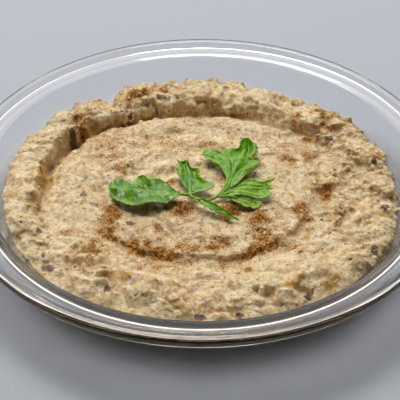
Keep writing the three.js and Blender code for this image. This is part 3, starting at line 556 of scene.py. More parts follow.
def disc_grid(count):
    """Angle and share of the radius for a square grid bent into a disc: rings of the square
    become rings of the disc, so that all cells have the same area."""
    line = np.linspace(-1, 1, count + 1)
    u, v = np.meshgrid(line, line, indexing="ij")
    flat = np.abs(u) >= np.abs(v)
    r = np.where(flat, u, v)
    safe = np.where(r == 0, 1, r)
    turn = np.where(flat, np.pi / 4 * v / safe, np.pi / 2 - np.pi / 4 * u / safe)
    return np.arctan2(r * np.sin(turn), r * np.cos(turn)), np.abs(r)


def grid_normals(grid):
    """Steps along the grid's rows and columns as central differences, and their cross product
    made one long and pointing up."""
    u, v = np.gradient(grid, axis=0), np.gradient(grid, axis=1)
    n = np.cross(u, v)
    n /= np.linalg.norm(n, axis=-1, keepdims=True)
    return u, v, n * np.sign(n[..., 2:])


def blurred(values, reach):
    """Each value averaged with its neighbours up to a reach along rows, then along columns."""
    for axis in (0, 1):
        total = np.zeros_like(values)
        for step in range(-reach, reach + 1):
            places = np.clip(np.arange(values.shape[axis]) + step, 0, values.shape[axis] - 1)
            total += np.take(values, places, axis=axis)
        values = total / (2 * reach + 1)
    return values


def push_chunks(grid):
    """Each kind of chunk in turn pushes the surface out along its normals, looked up at a
    place shifted by noise so that no chunk is round. A fine unevenness and the spoon's streaks
    come last."""
    x, y = grid[..., 0], grid[..., 1]
    rough, strength = roughness(x, y), bank_strength(x, y)
    crumbs = around(angle_of(x, y), CRUMB_ROUGH)
    for size, share, smooth_height, rough_height, seed in CHUNKS:
        x, y, z = np.moveaxis(grid, -1, 0)
        shift = [noise(a, b, size * 0.6, seed + 6 + n)
                 for n, (a, b) in enumerate([(x + 2 * z, y), (x, y + 2 * z), (x, y - z)])]
        rise = chunks(grid + CHUNK_BEND * size * np.stack(shift, -1), size, seed, share)
        full = rough_height * (crumbs if size == CHUNKS[-1][0] else strength)
        height = smooth_height + (full - smooth_height) * rough
        grid = grid + grid_normals(grid)[2] * (height * (rise - CHUNK_LEVEL))[..., None]
    x, y, z = np.moveaxis(grid, -1, 0)
    fine = FINE_DEPTH * noise(x + z, y - z, FINE_SIZE, 25)
    fine = fine + STREAK_DEPTH * streaks(x, y) * (1 - rough)
    return grid + grid_normals(grid)[2] * fine[..., None]


def streaks(x, y):
    """Noise drawn out along the spoon's path round the middle."""
    r, a = np.hypot(x, y), np.arctan2(y, x)
    return noise(r, 0.22 * a * r, STREAK_WIDTH, 71)


def dip_surface():
    """The top as a square grid bent into a disc. No point goes further into the glass than
    INTO_GLASS, and the outermost ones go just that far."""
    angle, share = disc_grid(DIP_CELLS)
    n = DIP_CELLS + 1
    line = np.arange(DIP_CELLS)
    corner = np.concatenate([
        (n - 1) * n + line, (n - 1 - line) * n + n - 1, n - 1 - line, line * n,
    ])
    ring = corner[np.argsort(angle.ravel()[corner])]
    reach = edge_radius(angle.ravel()[ring])
    radius = share * np.interp(angle, angle.ravel()[ring], reach, period=2 * np.pi)
    x, y = radius * np.cos(angle), radius * np.sin(angle)
    grid = push_chunks(np.stack([x, y, dip_form(x, y)], -1))
    r = np.hypot(grid[..., 0], grid[..., 1])
    limit = side_radius(grid[..., 2])
    outermost = np.zeros(r.size, dtype=bool)
    outermost[ring] = True
    pull = np.where((r > limit) | outermost.reshape(r.shape), limit / np.maximum(r, 1), 1)
    grid[..., :2] *= pull[..., None]
    return grid, ring


def dip_side():
    """Radius and height of the rings below the surface, from the end of the sloping wall round
    the floor's rounding, as an arc in equal steps."""
    slope = math.atan(1 / LEAN)
    start = FLOOR_CORNER - FLOOR_ROUNDING * math.tan(slope / 2)
    radius = FLOOR_ROUNDING + INTO_GLASS
    turn = slope * np.linspace(1, 0, SIDE_BANDS)
    return np.stack([start + radius * np.sin(turn),
                     FLOOR_TOP + FLOOR_ROUNDING - radius * np.cos(turn)], -1)


def make_dip():
    """The surface, then rings down the side and a flat bottom."""
    grid, ring = DIP_SURFACE
    n = DIP_CELLS + 1
    top = grid.reshape(-1, 3)
    ring_angle = np.arctan2(top[ring, 1], top[ring, 0])
    faces = [grid_faces(n, n)[:, ::-1]]
    points = [top]
    above, count = ring, len(top)
    following = (np.arange(len(ring)) + 1) % len(ring)
    for r, height in dip_side():
        points.append(np.stack([r * np.cos(ring_angle), r * np.sin(ring_angle),
                                np.full(len(ring), height)], -1))
        below = count + np.arange(len(ring))
        faces.append(np.stack([above, below, below[following], above[following]], -1))
        above, count = below, count + len(ring)
    points.append([[0, 0, FLOOR_TOP - INTO_GLASS]])
    points = np.concatenate(points)
    bottom = np.stack([above[following], above, np.full(len(ring), count)], -1)
    x, y = points[:, 0], points[:, 1]
    rest = len(points) - len(top)
    # Painted shade: how far each point of the top lies below its blurred neighbours, which the
    # finish turns into darker colour.
    cavity = (blurred(grid[..., 2], PAINTED_SHADE_REACH) - grid[..., 2]) / PAINTED_SHADE_DEPTH
    numbers = {
        "spice": spice_amount(x, y),
        "skin": 1.3 * spots(x, y, SKIN_SPOTS),
        "flesh": 1.2 * spots(x, y, FLESH_SPOTS),
        "cavity": np.concatenate([np.clip(cavity, -1, 1).ravel(), np.zeros(rest)]),
    }
    all_faces = [f for part in faces for f in part.tolist()] + bottom.tolist()
    piece = add_piece("aubergine_dip", points, all_faces, dip_finish(), numbers=numbers)
    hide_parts("dip")
    return piece


# ---- the glass dish ----

def rounded_profile(corners):
    """A polyline of [r, z, rounding] corners, each rounded corner an arc that touches both of
    its sides, and each long side cut in four."""
    points = []
    for i, (r, z, rounding) in enumerate(corners):
        here = np.array([r, z], dtype=float)
        if not rounding:
            points.append(here)
            continue
        back = np.array(corners[i - 1][:2], dtype=float) - here
        on = np.array(corners[i + 1][:2], dtype=float) - here
        back, on = back / np.linalg.norm(back), on / np.linalg.norm(on)
        half = math.acos(float(np.clip(back @ on, -1, 1))) / 2
        middle = (back + on) / np.linalg.norm(back + on)
        centre = here + middle * rounding / math.sin(half)
        arm = here + back * rounding / math.tan(half) - centre
        turn = math.pi - 2 * half
        sense = math.copysign(1, back[0] * on[1] - back[1] * on[0])
        steps = max(round(math.degrees(turn) / ARC_STEP), 2)
        for t in -sense * turn * np.arange(steps + 1) / steps:
            c, s = math.cos(t), math.sin(t)
            points.append(centre + [c * arm[0] - s * arm[1], s * arm[0] + c * arm[1]])
    fine = []
    for a, b in zip(points, points[1:]):
        cuts = 4 if np.linalg.norm(b - a) > 3 else 1
        fine += [a + (b - a) * k / cuts for k in range(cuts)]
    return np.array(fine + [points[-1]])


def tube_faces(rows, sides, turned=False):
    """Faces of a closed tube: rows of points that are each a ring, then a point that closes the
    first ring and one that closes the last. turned makes them face the other way."""
    j = np.arange(sides)
    k = (j + 1) % sides
    first = rows * sides
    end = first - sides
    faces = grid_faces(rows, sides, wrap=True).tolist()
    faces += np.stack([np.full(sides, first), k, j], -1).tolist()
    faces += np.stack([np.full(sides, first + 1), end + j, end + k], -1).tolist()
    return [f[::-1] for f in faces] if turned else faces


def lathe(profile, sides, turned=False):
    """A profile from the axis to the axis, turned about +Z: point (r, z) becomes
    (r cos a, r sin a, z) at each angle a, with one point at each pole."""
    a = np.linspace(0, 2 * np.pi, sides, endpoint=False)
    r, z = profile[1:-1].T
    rings = np.stack([np.outer(r, np.cos(a)), np.outer(r, np.sin(a)),
                      np.repeat(z[:, None], sides, 1)], -1).reshape(-1, 3)
    poles = [[0, 0, profile[0][1]], [0, 0, profile[-1][1]]]
    return np.concatenate([rings, poles]), tube_faces(len(r), sides, turned)


def make_dish():
    """Up the outside from under the foot, over the rolled edge and the lip, and down the inside
    to the middle of the floor, turned about the axis."""
    bead_inside = RIM_RADIUS - BEAD_WIDTH
    foot_inside = HEEL_CORNER - FOOT_WIDTH
    profile = rounded_profile([
        [0, FOOT_HEIGHT, 0],
        [foot_inside - FOOT_HEIGHT, FOOT_HEIGHT, 1],
        [foot_inside, 0, 1],
        [HEEL_CORNER, 0, HEEL_ROUNDING],
        [HEEL_CORNER + LIP_BELOW * LEAN, LIP_BELOW, UNDER_LIP_ROUNDING],
        [RIM_RADIUS, LIP_BELOW, BEAD_BOTTOM_ROUNDING],
        [RIM_RADIUS, DISH_HEIGHT, BEAD_TOP_ROUNDING],
        [bead_inside, DISH_HEIGHT, BEAD_INNER_ROUNDING],
        [bead_inside - BEAD_FOOT, LIP_TOP, BEAD_FOOT_ROUNDING],
        [LIP_CORNER, LIP_TOP, LIP_ROUNDING],
        [FLOOR_CORNER, FLOOR_TOP, FLOOR_ROUNDING],
        [0, FLOOR_TOP, 0],
    ])
    points, faces = lathe(profile, DISH_SIDES)
    piece = add_piece("glass_dish", points, faces, glass_finish())
    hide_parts("dish")
    return piece


# ---- the parsley ----

def curve(rows, t):
    """Points on a smooth curve through the rows, at shares t of its spans: cubics whose slopes
    come from neighbours weighted by the root of their distance."""
    p = np.array(rows, dtype=float)
    p = np.concatenate([[2 * p[0] - p[1]], p, [2 * p[-1] - p[-2]]])
    spans = len(rows) - 1
    k = np.minimum((t * spans).astype(int), spans - 1)
    w = (t * spans - k)[:, None]
    a, b, c, d = p[k], p[k + 1], p[k + 2], p[k + 3]
    before = np.linalg.norm(b - a, axis=1)[:, None] ** 0.5
    here = np.linalg.norm(c - b, axis=1)[:, None] ** 0.5
    after = np.linalg.norm(d - c, axis=1)[:, None] ** 0.5
    slope_b = here * ((b - a) / before - (c - a) / (before + here) + (c - b) / here)
    slope_c = here * ((c - b) / here - (d - b) / (here + after) + (d - c) / after)
    return (b + slope_b * w + (3 * (c - b) - 2 * slope_b - slope_c) * w ** 2
            + (2 * (b - c) + slope_b + slope_c) * w ** 3)


def leaf_level(x, y):
    """Where the middle of a leaf's thickness lies when it isn't lifted: clear of the highest of
    five places on the dip."""
    near = [(0, 0), (2, 0), (-2, 0), (0, 2), (0, -2)]
    return np.max([dip_form(x + dx, y + dy) for dx, dy in near], axis=0) + LEAF_GAP


def lengths(points):
    """Distance along a curve of points, from its start."""
    steps = np.linalg.norm(np.diff(points[:, :2], axis=0), axis=1)
    return np.concatenate([[0], np.cumsum(steps)])


def leaflet(base, tip, left, right, rib, tone, pleats, pleat):
    """A thin sheet: point (t, v) lies at share |v| of the way from the rib at t to one margin.
    The margins are finely toothed, |sin| of the distance along them, the sheet is pleated by a
    cosine across it and blistered by noise, and side veins run from the rib outwards. Both
    faces are the sheet moved up and down by half its thickness."""
    t = np.linspace(0, 1, LEAF_ROWS + 1)
    v = np.linspace(-1, 1, LEAF_COLUMNS + 1)
    middle, *margins = [curve([base, *line, tip], t) for line in (rib, left, right)]
    grid = np.empty((len(t), len(v), 3))
    vein = np.empty((len(t), len(v)))
    for j, share in enumerate(v):
        m = margins[0] if share < 0 else margins[1]
        side = m - middle
        wide = np.maximum(np.linalg.norm(side[:, :2], axis=1), 0.01)
        phase = lengths(m) / TOOTH_PITCH
        fade = smooth((t - 0.12) / 0.3) * smooth((1 - t) / 0.04) * smooth(wide / 3)
        tooth = TOOTH_DEPTH * fade * (np.abs(np.sin(np.pi * phase)) ** 0.7 - 0.6)
        out = abs(share) * (1 + tooth / np.maximum(wide, 2) * abs(share) ** 3)
        grid[:, j, :2] = middle[:, :2] + side[:, :2] * out[:, None]
        grid[:, j, 2] = middle[:, 2] + side[:, 2] * abs(share) ** 1.6
        side_phase = phase * VEINS_PER_TOOTH - 0.9 * (1 - abs(share))
        near_side = np.abs((side_phase + 0.5) % 1 - 0.5) * TOOTH_PITCH / VEINS_PER_TOOTH
        side_vein = np.exp(-(near_side / VEIN_WIDTH) ** 2) * smooth(wide / 4) * (1 - share ** 4)
        rib_line = np.exp(-(abs(share) * wide / RIB_WIDTH) ** 2)
        vein[:, j] = np.maximum(rib_line, 0.55 * side_vein)
    x, y = grid[..., 0], grid[..., 1]
    rise = pleat * np.cos(2 * np.pi * pleats * (v + 0.12 * np.sin(9 * t[:, None])))
    rise = rise * smooth(t / 0.35)[:, None] - VEIN_DEPTH * vein
    rise = rise + BLISTER_HEIGHT * noise(x, y, BLISTER_SIZE, 91)
    rise = rise + CURL_HEIGHT * v ** 4 * noise(x, y, CURL_SIZE, 92)
    rise = rise * smooth(np.minimum(t, 1 - t) / 0.08)[:, None]
    grid[..., 2] += leaf_level(x, y) + rise
    # margin: how strongly the finish paints a glow of light through the leaf's thin edge.
    return sheet_solid(grid, {"vein": vein, "tone": np.full_like(vein, tone),
                              "margin": np.repeat(v[None] ** 6, len(t), 0)})


def sheet_solid(grid, numbers):
    """A grid given two faces, as a flat tube: each ring runs along the upper face and back along
    the lower one. The first and last rows, where the sheet narrows to a point, close it."""
    half = np.array([0, 0, LEAF_THICKNESS / 2])
    rings = np.concatenate([grid[1:-1] + half, (grid[1:-1] - half)[:, ::-1]], axis=1)
    points = np.concatenate([rings.reshape(-1, 3), [grid[0, 0], grid[-1, 0]]])
    values = {}
    for key, value in numbers.items():
        inner = np.concatenate([value[1:-1], value[1:-1, ::-1]], axis=1)
        values[key] = np.concatenate([inner.ravel(), [value[0, 0], value[-1, 0]]])
    return points, tube_faces(*rings.shape[:2]), values


def stalk(rows):
    """A round rod along a curve: a ring stands square to the curve at each step, a little thinner
    at the ends, with a point to close each end."""
    t = np.linspace(0, 1, STALK_STEPS)
    line = curve(rows, t)
    line[:, 2] += leaf_level(line[:, 0], line[:, 1])
    ahead = np.gradient(line, axis=0)
    ahead /= np.linalg.norm(ahead, axis=1)[:, None]
    side = np.cross(ahead, [0, 0, 1])
    side /= np.linalg.norm(side, axis=1)[:, None]
    up = np.cross(side, ahead)
    a = np.linspace(0, 2 * np.pi, STALK_SIDES, endpoint=False)[None, :, None]
    thick = STALK_RADIUS * (0.85 + 0.15 * np.sin(np.pi * t))[:, None, None]
    rings = line[:, None] + thick * (np.cos(a) * side[:, None] + np.sin(a) * up[:, None])
    ends = [line[0] - STALK_END * ahead[0], line[-1] + STALK_END * ahead[-1]]
    points = np.concatenate([rings.reshape(-1, 3), ends])
    numbers = {"vein": 0.7, "tone": 0.4, "margin": 0.3}
    return (points, tube_faces(STALK_STEPS, STALK_SIDES, turned=True),
            {key: np.full(len(points), value) for key, value in numbers.items()})


def make_sprig(name, node, leaflets, stalks):
    """Leaflets and stalks as one mesh of closed pieces that reach into each other."""
    parts = [leaflet(**leaf) for leaf in leaflets] + [stalk(rows) for rows in stalks]
    faces, count = [], 0
    for part_points, part_faces, _ in parts:
        faces += [[i + count for i in f] for f in part_faces]
        count += len(part_points)
    points = np.concatenate([part[0] for part in parts])
    numbers = {key: np.concatenate([part[2][key] for part in parts]) for key in parts[0][2]}
    piece = add_piece(name, points, faces, LEAF_FINISH, numbers=numbers)
    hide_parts(node)
    return piece


# ---- scattered spice, flecks, bits and chips ----

def pebble(rows=5, sides=7):
    """A unit ball as rings between two poles."""
    down = np.pi * np.arange(rows + 2) / (rows + 1)
    return lathe(np.stack([np.sin(down), np.cos(down)], -1), sides, turned=True)


def grain():
    """A unit double pyramid with four sides."""
    points = np.array([[1, 0, 0], [0, 1, 0], [-1, 0, 0], [0, -1, 0], [0, 0, 1], [0, 0, -1]], float)
    faces = [[4, 0, 1], [4, 1, 2], [4, 2, 3], [4, 3, 0], [5, 1, 0], [5, 2, 1], [5, 3, 2], [5, 0, 3]]
    return points, faces


def scatter(name, form, places, sizes, sink, finish, rng, rough=0.25):
    """Copies of a small form lying on the dip: each is stretched by its three sizes, made
    uneven, and turned at random about the surface's normal. Its middle is sunk by a share of
    half its height."""
    unit, unit_faces = form
    middles, normal = places
    n = len(middles)
    uneven = 1 + rough * (rng.random((n, len(unit), 1)) - 0.5) * 2
    body = unit[None] * uneven * sizes[:, None, :]
    heading = rng.random(n) * 2 * np.pi
    ahead = np.stack([np.cos(heading), np.sin(heading), 0.3 * (rng.random(n) - 0.5)], -1)
    ahead = ahead - normal * np.sum(ahead * normal, axis=1)[:, None]
    ahead /= np.linalg.norm(ahead, axis=1)[:, None]
    across = np.cross(normal, ahead)
    turned = (body[..., :1] * ahead[:, None] + body[..., 1:2] * across[:, None]
              + body[..., 2:] * normal[:, None])
    centre = middles - normal * (sink * sizes[:, 2])[:, None]
    points = (turned + centre[:, None]).reshape(-1, 3)
    faces = []
    for f in unit_faces:
        faces += (np.array(f)[None] + len(unit) * np.arange(n)[:, None]).tolist()
    shade = np.repeat(rng.random(n), len(unit))
    piece = add_piece(name, points, faces, finish, numbers={"shade": shade})
    return piece


def random_places(rng, count, weight):
    """Places on the finished surface and the normals there: a grid cell is drawn with a chance
    in proportion to its area times the weight, and then a place within it."""
    grid = DIP_SURFACE[0]
    u, v, n = grid_normals(grid)
    area = np.linalg.norm(np.cross(u, v), axis=-1)
    r = np.hypot(grid[..., 0], grid[..., 1])
    chance = area * weight(grid[..., 0], grid[..., 1]) * (r < side_radius(grid[..., 2]) - 1)
    total = np.cumsum(chance.ravel())
    pick = np.searchsorted(total, rng.random(count) * total[-1])
    a, b = rng.random((2, count, 1)) - 0.5
    grid, u, v, n = [values.reshape(-1, 3)[pick] for values in (grid, u, v, n)]
    return grid + a * u + b * v, n


def lay_chips():
    """Chips of charred skin, each at its own place on the dip and mostly sunk in it. The nearest
    point of the surface gives its height and lie."""
    grid = DIP_SURFACE[0]
    normal = grid_normals(grid)[2].reshape(-1, 3)
    flat = grid.reshape(-1, 3)
    degrees, radius, length, width, height = np.array(SKIN_CHIPS, dtype=float).T
    x, y = polar(degrees, radius)
    near = np.argmin((flat[:, :1] - x) ** 2 + (flat[:, 1:2] - y) ** 2, axis=0)
    sizes = np.stack([length, width, height], -1) / 2
    scatter("skin_chips", pebble(9, 14), (flat[near], normal[near]), sizes, 0.55,
            loose_finish("dark_skin"), np.random.default_rng(5), rough=0.22)


def make_toppings():
    """Chips of skin, grains of spice where it fell, dark flecks all over, and soft bits of the
    vegetable mostly sunk in the surface. Each size is half the piece's length."""
    lay_chips()
    rng = np.random.default_rng(7)
    places = random_places(rng, GRAINS, lambda x, y: np.clip(spice_amount(x, y), 0, 1.2) ** 2)
    size = 0.16 + 0.3 * rng.random((GRAINS, 1)) ** 2
    sizes = size * [1, 0.8, 0.7] * (0.8 + 0.4 * rng.random((GRAINS, 3)))
    scatter("ground_spice", grain(), places, sizes, 0.1, loose_finish("ground_spice"), rng)
    places = random_places(rng, FLECKS, lambda x, y: np.ones_like(x))
    size = 0.26 + 0.6 * rng.random((FLECKS, 1)) ** 3
    sizes = size * [1.3, 0.7, 0.4]
    scatter("dark_flecks", grain(), places, sizes, 0.1, loose_finish("charred_skin"), rng)
    places = random_places(rng, SOFT_BITS, lambda x, y: 0.35 + 0.65 * roughness(x, y))
    size = 0.5 + 1.2 * rng.random((SOFT_BITS, 1)) ** 2
    sizes = size * [1, 0.75, 0.5] * (0.8 + 0.4 * rng.random((SOFT_BITS, 3)))
    scatter("soft_bits", pebble(), places, sizes, 0.5, loose_finish("soft_flesh"), rng, 0.18)


# ---- finishes ----

def node_maker(tree):
    """A function that adds a node to a tree. An input's key is its name, with _ for a space, or
    i and its number."""
    def node(kind, settings=None, **inputs):
        made = tree.nodes.new(kind)
        for key, value in (settings or {}).items():
            setattr(made, key, value)
        for key, value in inputs.items():
            socket = made.inputs[int(key[1:]) if key[1:].isdigit() else key.replace("_", " ")]
            if isinstance(value, bpy.types.NodeSocket):
                tree.links.new(value, socket)
            else:
                socket.default_value = value
        return made

    return node


def new_finish(name, **plain):
    """A material whose shader has some plain numbers and colours. Returns it, its maker of nodes
    and a function that links a value to the shader."""
    finish = bpy.data.materials.new(name)
    finish.use_nodes = True
    tree = finish.node_tree
    shader = tree.nodes["Principled BSDF"]
    for key, value in plain.items():
        shader.inputs[key.replace("_", " ")].default_value = value

    def join(value, socket):
        tree.links.new(value, shader.inputs[socket])

    return finish, node_maker(tree), join


def mix(node, share, a, b):
    """Colour a where share is 0 and colour b where it is 1."""
    made = node("ShaderNodeMix", {"data_type": "RGBA"}, i0=share, i6=a, i7=b)
    return made.outputs[2]


def number(node, operation, a, b=0.0, c=0.0):
    """One step of arithmetic."""
    return node("ShaderNodeMath", {"operation": operation}, i0=a, i1=b, i2=c).outputs[0]


def ramp(node, value, low, high):
    """0 below low, 1 above high and smooth between them."""
    steps = {"interpolation_type": "SMOOTHSTEP"}
    return node("ShaderNodeMapRange", steps, i0=value, i1=low, i2=high).outputs[0]


def grainy(node, place, size_mm, detail=2.0):
    """Noise from 0 to 1 with features of a size in millimetres."""
    made = node("ShaderNodeTexNoise", Vector=place, Scale=1 / (size_mm * MM), Detail=detail)
    return made.outputs[0]


def patchy(node, place, size_mm, low, high, detail=3.0):
    """Such noise made into patches by a ramp."""
    return ramp(node, grainy(node, place, size_mm, detail), low, high)


def two_reliefs(node, place, fine_mm, coarse_mm):
    """Coarse noise with a third as much fine noise added."""
    return number(node, "MULTIPLY_ADD", grainy(node, place, fine_mm), 0.35,
                  grainy(node, place, coarse_mm))


def layered(node, colour, layers):
    """A colour with others laid over it in turn, each [share, strength, colour]."""
    for share, strength, over in layers:
        colour = mix(node, number(node, "MULTIPLY", share, strength), colour, over)
    return colour


def mash(node, place, size_mm):
    """Soft round bits: three random numbers for each bit, and a share that is 1 in its middle
    and 0 where it ends. Noise bends them all."""
    bent = node("ShaderNodeTexNoise", Vector=place, Scale=1.2 / (size_mm * MM), Detail=1)
    shift = node("ShaderNodeVectorMath", {"operation": "SCALE"}, i0=bent.outputs["Color"],
                 Scale=0.9 * size_mm * MM)
    moved = node("ShaderNodeVectorMath", {"operation": "ADD"}, i0=place, i1=shift.outputs[0])
    cells = node("ShaderNodeTexVoronoi", Vector=moved.outputs[0], Scale=1 / (size_mm * MM))
    split = node("ShaderNodeSeparateColor", Color=cells.outputs["Color"])
    fray = grainy(node, place, 0.3 * size_mm)
    uneven = number(node, "MULTIPLY_ADD", fray, 0.6, cells.outputs["Distance"])
    return [*split.outputs, number(node, "SUBTRACT", 1.0, ramp(node, uneven, 0.5, 0.75))]


def object_place(node):
    """The place of each point in the object's own frame."""
    return node("ShaderNodeTexCoord").outputs["Object"]


def attribute(node, name):
    """The number stored under a name at each point."""
    return node("ShaderNodeAttribute", {"attribute_name": name}).outputs["Fac"]


def rgb(red, green, blue):
    """A colour from its display values out of 255, made linear."""
    linear = [((c / 255 + 0.055) / 1.055) ** 2.4 if c > 10 else c / 255 / 12.92
              for c in (red, green, blue)]
    return (*linear, 1.0)


def glass_finish():
    """Clear, colourless glass."""
    return new_finish("clear_glass", Base_Color=rgb(255, 253, 254), Roughness=0.015, IOR=1.47,
                      Transmission_Weight=1.0)[0]


def dip_finish():
    """Moist mashed aubergine: mottled from tan to cream, with tan, yellow and purple-grey
    spots, painted shade that darkens its hollows, and brown with a dry speckle where the spice
    fell."""
    finish, node, join = new_finish(
        "mashed_aubergine", Subsurface_Weight=0.5, Subsurface_Radius=(1.0, 0.74, 0.5),
        Subsurface_Scale=1.6 * MM, IOR=1.42)
    place = object_place(node)

    def bits(pick, low, high, core):
        """The bits whose random number is above a bound, softened at their ends."""
        return number(node, "MULTIPLY", ramp(node, pick, low, high), core)

    light, yellow, purple, core = mash(node, place, 4.6)
    dark, orange, _, small_core = mash(node, place, 2.2)
    broken = number(node, "MULTIPLY_ADD", grainy(node, place, 1.4, 3), 0.9, -0.45)
    flesh = number(node, "ADD", attribute(node, "flesh"), broken)
    skin = number(node, "ADD", attribute(node, "skin"), broken)
    spice = attribute(node, "spice")
    speck = number(node, "MULTIPLY_ADD", spice, 0.34, grainy(node, place, 0.8, 3))
    dust = ramp(node, speck, 0.7, 0.88)
    hue = patchy(node, place, 1.8, 0.38, 0.6, 2)
    paste = mix(node, patchy(node, place, 6, 0.36, 0.6), rgb(214, 178, 120), rgb(240, 217, 168))
    join(layered(node, paste, [
        [patchy(node, place, 2.4, 0.42, 0.62), 0.5, rgb(250, 236, 202)],
        [patchy(node, place, 1.7, 0.53, 0.68), 0.55, rgb(192, 138, 78)],
        [bits(light, 0.5, 0.8, core), 0.7, rgb(252, 242, 216)],
        [bits(yellow, 0.55, 0.8, core), 0.75, rgb(220, 184, 88)],
        [bits(purple, 0.82, 0.96, core), 0.6, rgb(164, 126, 98)],
        [bits(dark, 0.92, 0.96, small_core), 0.75, rgb(122, 76, 44)],
        [bits(orange, 0.84, 0.92, small_core), 0.75, rgb(206, 142, 60)],
        # Painted shade darkening the hollows.
        [ramp(node, attribute(node, "cavity"), 0.1, 0.9), 0.42, rgb(160, 112, 64)],
        [ramp(node, flesh, 0.2, 0.6), 0.85, rgb(212, 164, 80)],
        [ramp(node, skin, 0.3, 0.5), 0.9, rgb(92, 58, 48)],
        [ramp(node, spice, 0.12, 1.1), 0.6, rgb(212, 158, 80)],
        [dust, 0.95, mix(node, hue, rgb(98, 56, 16), rgb(200, 138, 58))],
    ]), "Base Color")
    wet = number(node, "MULTIPLY_ADD", grainy(node, place, 3), 0.4, 0.22)
    join(number(node, "MAXIMUM", wet, dust), "Roughness")
    relief = number(node, "MULTIPLY_ADD", core, 0.4, two_reliefs(node, place, 0.55, 1.5))
    bump = node("ShaderNodeBump", Height=relief, Strength=0.9, Distance=0.5 * MM)
    join(bump.outputs[0], "Normal")
    return finish


# Finishes of the loose pieces: [dark colour, light colour, roughness, shine].
LOOSE_LOOKS = {
    "ground_spice": [(98, 56, 14), (222, 160, 76), 1.0, 0.0],
    "charred_skin": [(84, 50, 24), (160, 106, 54), 0.8, 0.0],
    "dark_skin": [(94, 62, 46), (170, 122, 80), 0.6, 0.2],
    "soft_flesh": [(200, 160, 98), (244, 226, 184), 0.4, 0.3],
}


def loose_finish(name):
    """A finish between two colours by each piece's own shade, with a fine mottle."""
    dark, light, roughness, shine = LOOSE_LOOKS[name]
    finish, node, join = new_finish(name, Roughness=roughness, Specular_IOR_Level=shine)
    place = object_place(node)
    mottle = number(node, "MULTIPLY_ADD", grainy(node, place, 0.6), 0.5, -0.25)
    share = number(node, "ADD", attribute(node, "shade"), mottle)
    join(mix(node, ramp(node, share, 0.0, 1.0), rgb(*dark), rgb(*light)), "Base Color")
    return finish


def leaf_finish():
    """Fresh parsley: deep green to pale green by the leaf's tone, with lighter veins, margins
    lightened as a painted glow of light through their thin edge, a soft mottle, light glowing
    through, and a gloss that fades with the tone."""
    finish, node, join = new_finish(
        "fresh_parsley", Subsurface_Weight=0.4, Subsurface_Radius=(0.6, 1.0, 0.15),
        Subsurface_Scale=0.9 * MM, IOR=1.4)
    place = object_place(node)
    tone = attribute(node, "tone")
    green = mix(node, ramp(node, tone, 0.0, 0.5), rgb(70, 136, 0), rgb(118, 176, 0))
    join(layered(node, green, [
        [ramp(node, tone, 0.5, 1.0), 1.0, rgb(170, 204, 92)],
        [patchy(node, place, 1.7, 0.42, 0.66), 0.6, rgb(44, 100, 4)],
        [patchy(node, place, 5, 0.4, 0.65, 2), 0.55, rgb(146, 192, 14)],
        [attribute(node, "vein"), 0.34, rgb(170, 204, 76)],
        # Painted glow: the margins lightened as if lit through from behind.
        [attribute(node, "margin"), 0.3, rgb(180, 212, 40)],
    ]), "Base Color")
    join(number(node, "MULTIPLY_ADD", tone, 0.45, 0.12), "Roughness")
    relief = two_reliefs(node, place, 0.7, 1.9)
    bump = node("ShaderNodeBump", Height=relief, Strength=0.75, Distance=0.35 * MM)
    join(bump.outputs[0], "Normal")
    return finish


def table_finish():
    """Pale cool grey paint."""
    return new_finish("pale_table", Base_Color=rgb(182, 188, 196), Roughness=0.6)[0]


# ---- table, light and camera ----

def make_table():
    """A flat sheet just under the foot."""
    half, under = 3000.0, -0.1
    points = [[x * half, y * half, under] for x, y in [(-1, -1), (1, -1), (1, 1), (-1, 1)]]
    table = add_piece("pale_table", points, [[0, 1, 2, 3]], table_finish(), body=None, smooth=False)


def add_softbox(name, place, size, power, colour):
    """A soft rectangular light that faces the dish."""
    light = bpy.data.lights.new(name, "AREA")
    light.shape = "RECTANGLE"
    light.size, light.size_y = size
    light.energy = power
    light.color = colour
    holder = bpy.data.objects.new(name, light)
    holder.location = place
    away = np.array(place) / np.linalg.norm(place)
    holder.rotation_euler = (math.acos(away[2]), 0, math.atan2(away[1], away[0]) + math.pi / 2)
    bpy.context.scene.collection.objects.link(holder)


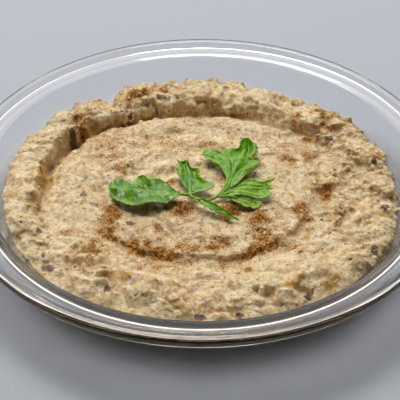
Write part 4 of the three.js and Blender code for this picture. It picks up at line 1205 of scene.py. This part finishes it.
WARM_WHITE = (1.0, 0.985, 0.965)
COOL_WHITE = (0.97, 0.98, 1.0)
WALL_LIGHT = 0.25
CEILING_LIGHT = 0.02


def make_light():
    """A large and a small softbox above and behind, a low one further back, and a dim room with
    paler walls: the room's brightness falls smoothly from the horizon upwards."""
    add_softbox("main_softbox", (-0.3, 0.98, 2.06), (2.5, 1.9), 25.5, WARM_WHITE)
    add_softbox("key_softbox", (-0.28, 0.93, 1.95), (0.9, 0.7), 19.5, WARM_WHITE)
    add_softbox("low_softbox", (0, 2.05, 1.0), (3.4, 1.4), 24, COOL_WHITE)
    room = bpy.data.worlds.new("pale_room")
    room.use_nodes = True
    node = node_maker(room.node_tree)
    background = room.node_tree.nodes["Background"]
    background.inputs["Color"].default_value = (0.95, 0.97, 1.0, 1)
    upwards = node("ShaderNodeTexCoord").outputs["Generated"]
    height = node("ShaderNodeSeparateXYZ", i0=upwards).outputs[2]
    steps = {"interpolation_type": "SMOOTHSTEP"}
    walls = node("ShaderNodeMapRange", steps, i0=height, i1=0.0, i2=0.5, i3=WALL_LIGHT,
                 i4=CEILING_LIGHT)
    room.node_tree.links.new(walls.outputs[0], background.inputs["Strength"])
    bpy.context.scene.world = room


CAMERA_PLACE = (-0.0013, -0.5082, 0.4185)
CAMERA_TILT = 51.32
CAMERA_LENS = 112.5


def make_camera():
    """A long lens that looks down on the dish from the front."""
    camera = bpy.data.cameras.new("camera")
    camera.lens = CAMERA_LENS
    camera.sensor_width = 36
    holder = bpy.data.objects.new("camera", camera)
    holder.location = CAMERA_PLACE
    holder.rotation_euler = (math.radians(CAMERA_TILT), 0, 0)
    bpy.context.scene.collection.objects.link(holder)
    bpy.context.scene.camera = holder


bpy.context.scene.view_settings.view_transform = "Standard"
make_camera()
make_light()
make_table()
make_dish()
DIP_SURFACE = dip_surface()
make_dip()
LEAF_FINISH = leaf_finish()
make_sprig("parsley_sprig_left", "parsley_left", LEFT_SPRIG, LEFT_STALKS)
make_sprig("parsley_sprig_right", "parsley_right", RIGHT_SPRIG, RIGHT_STALKS)
make_toppings()
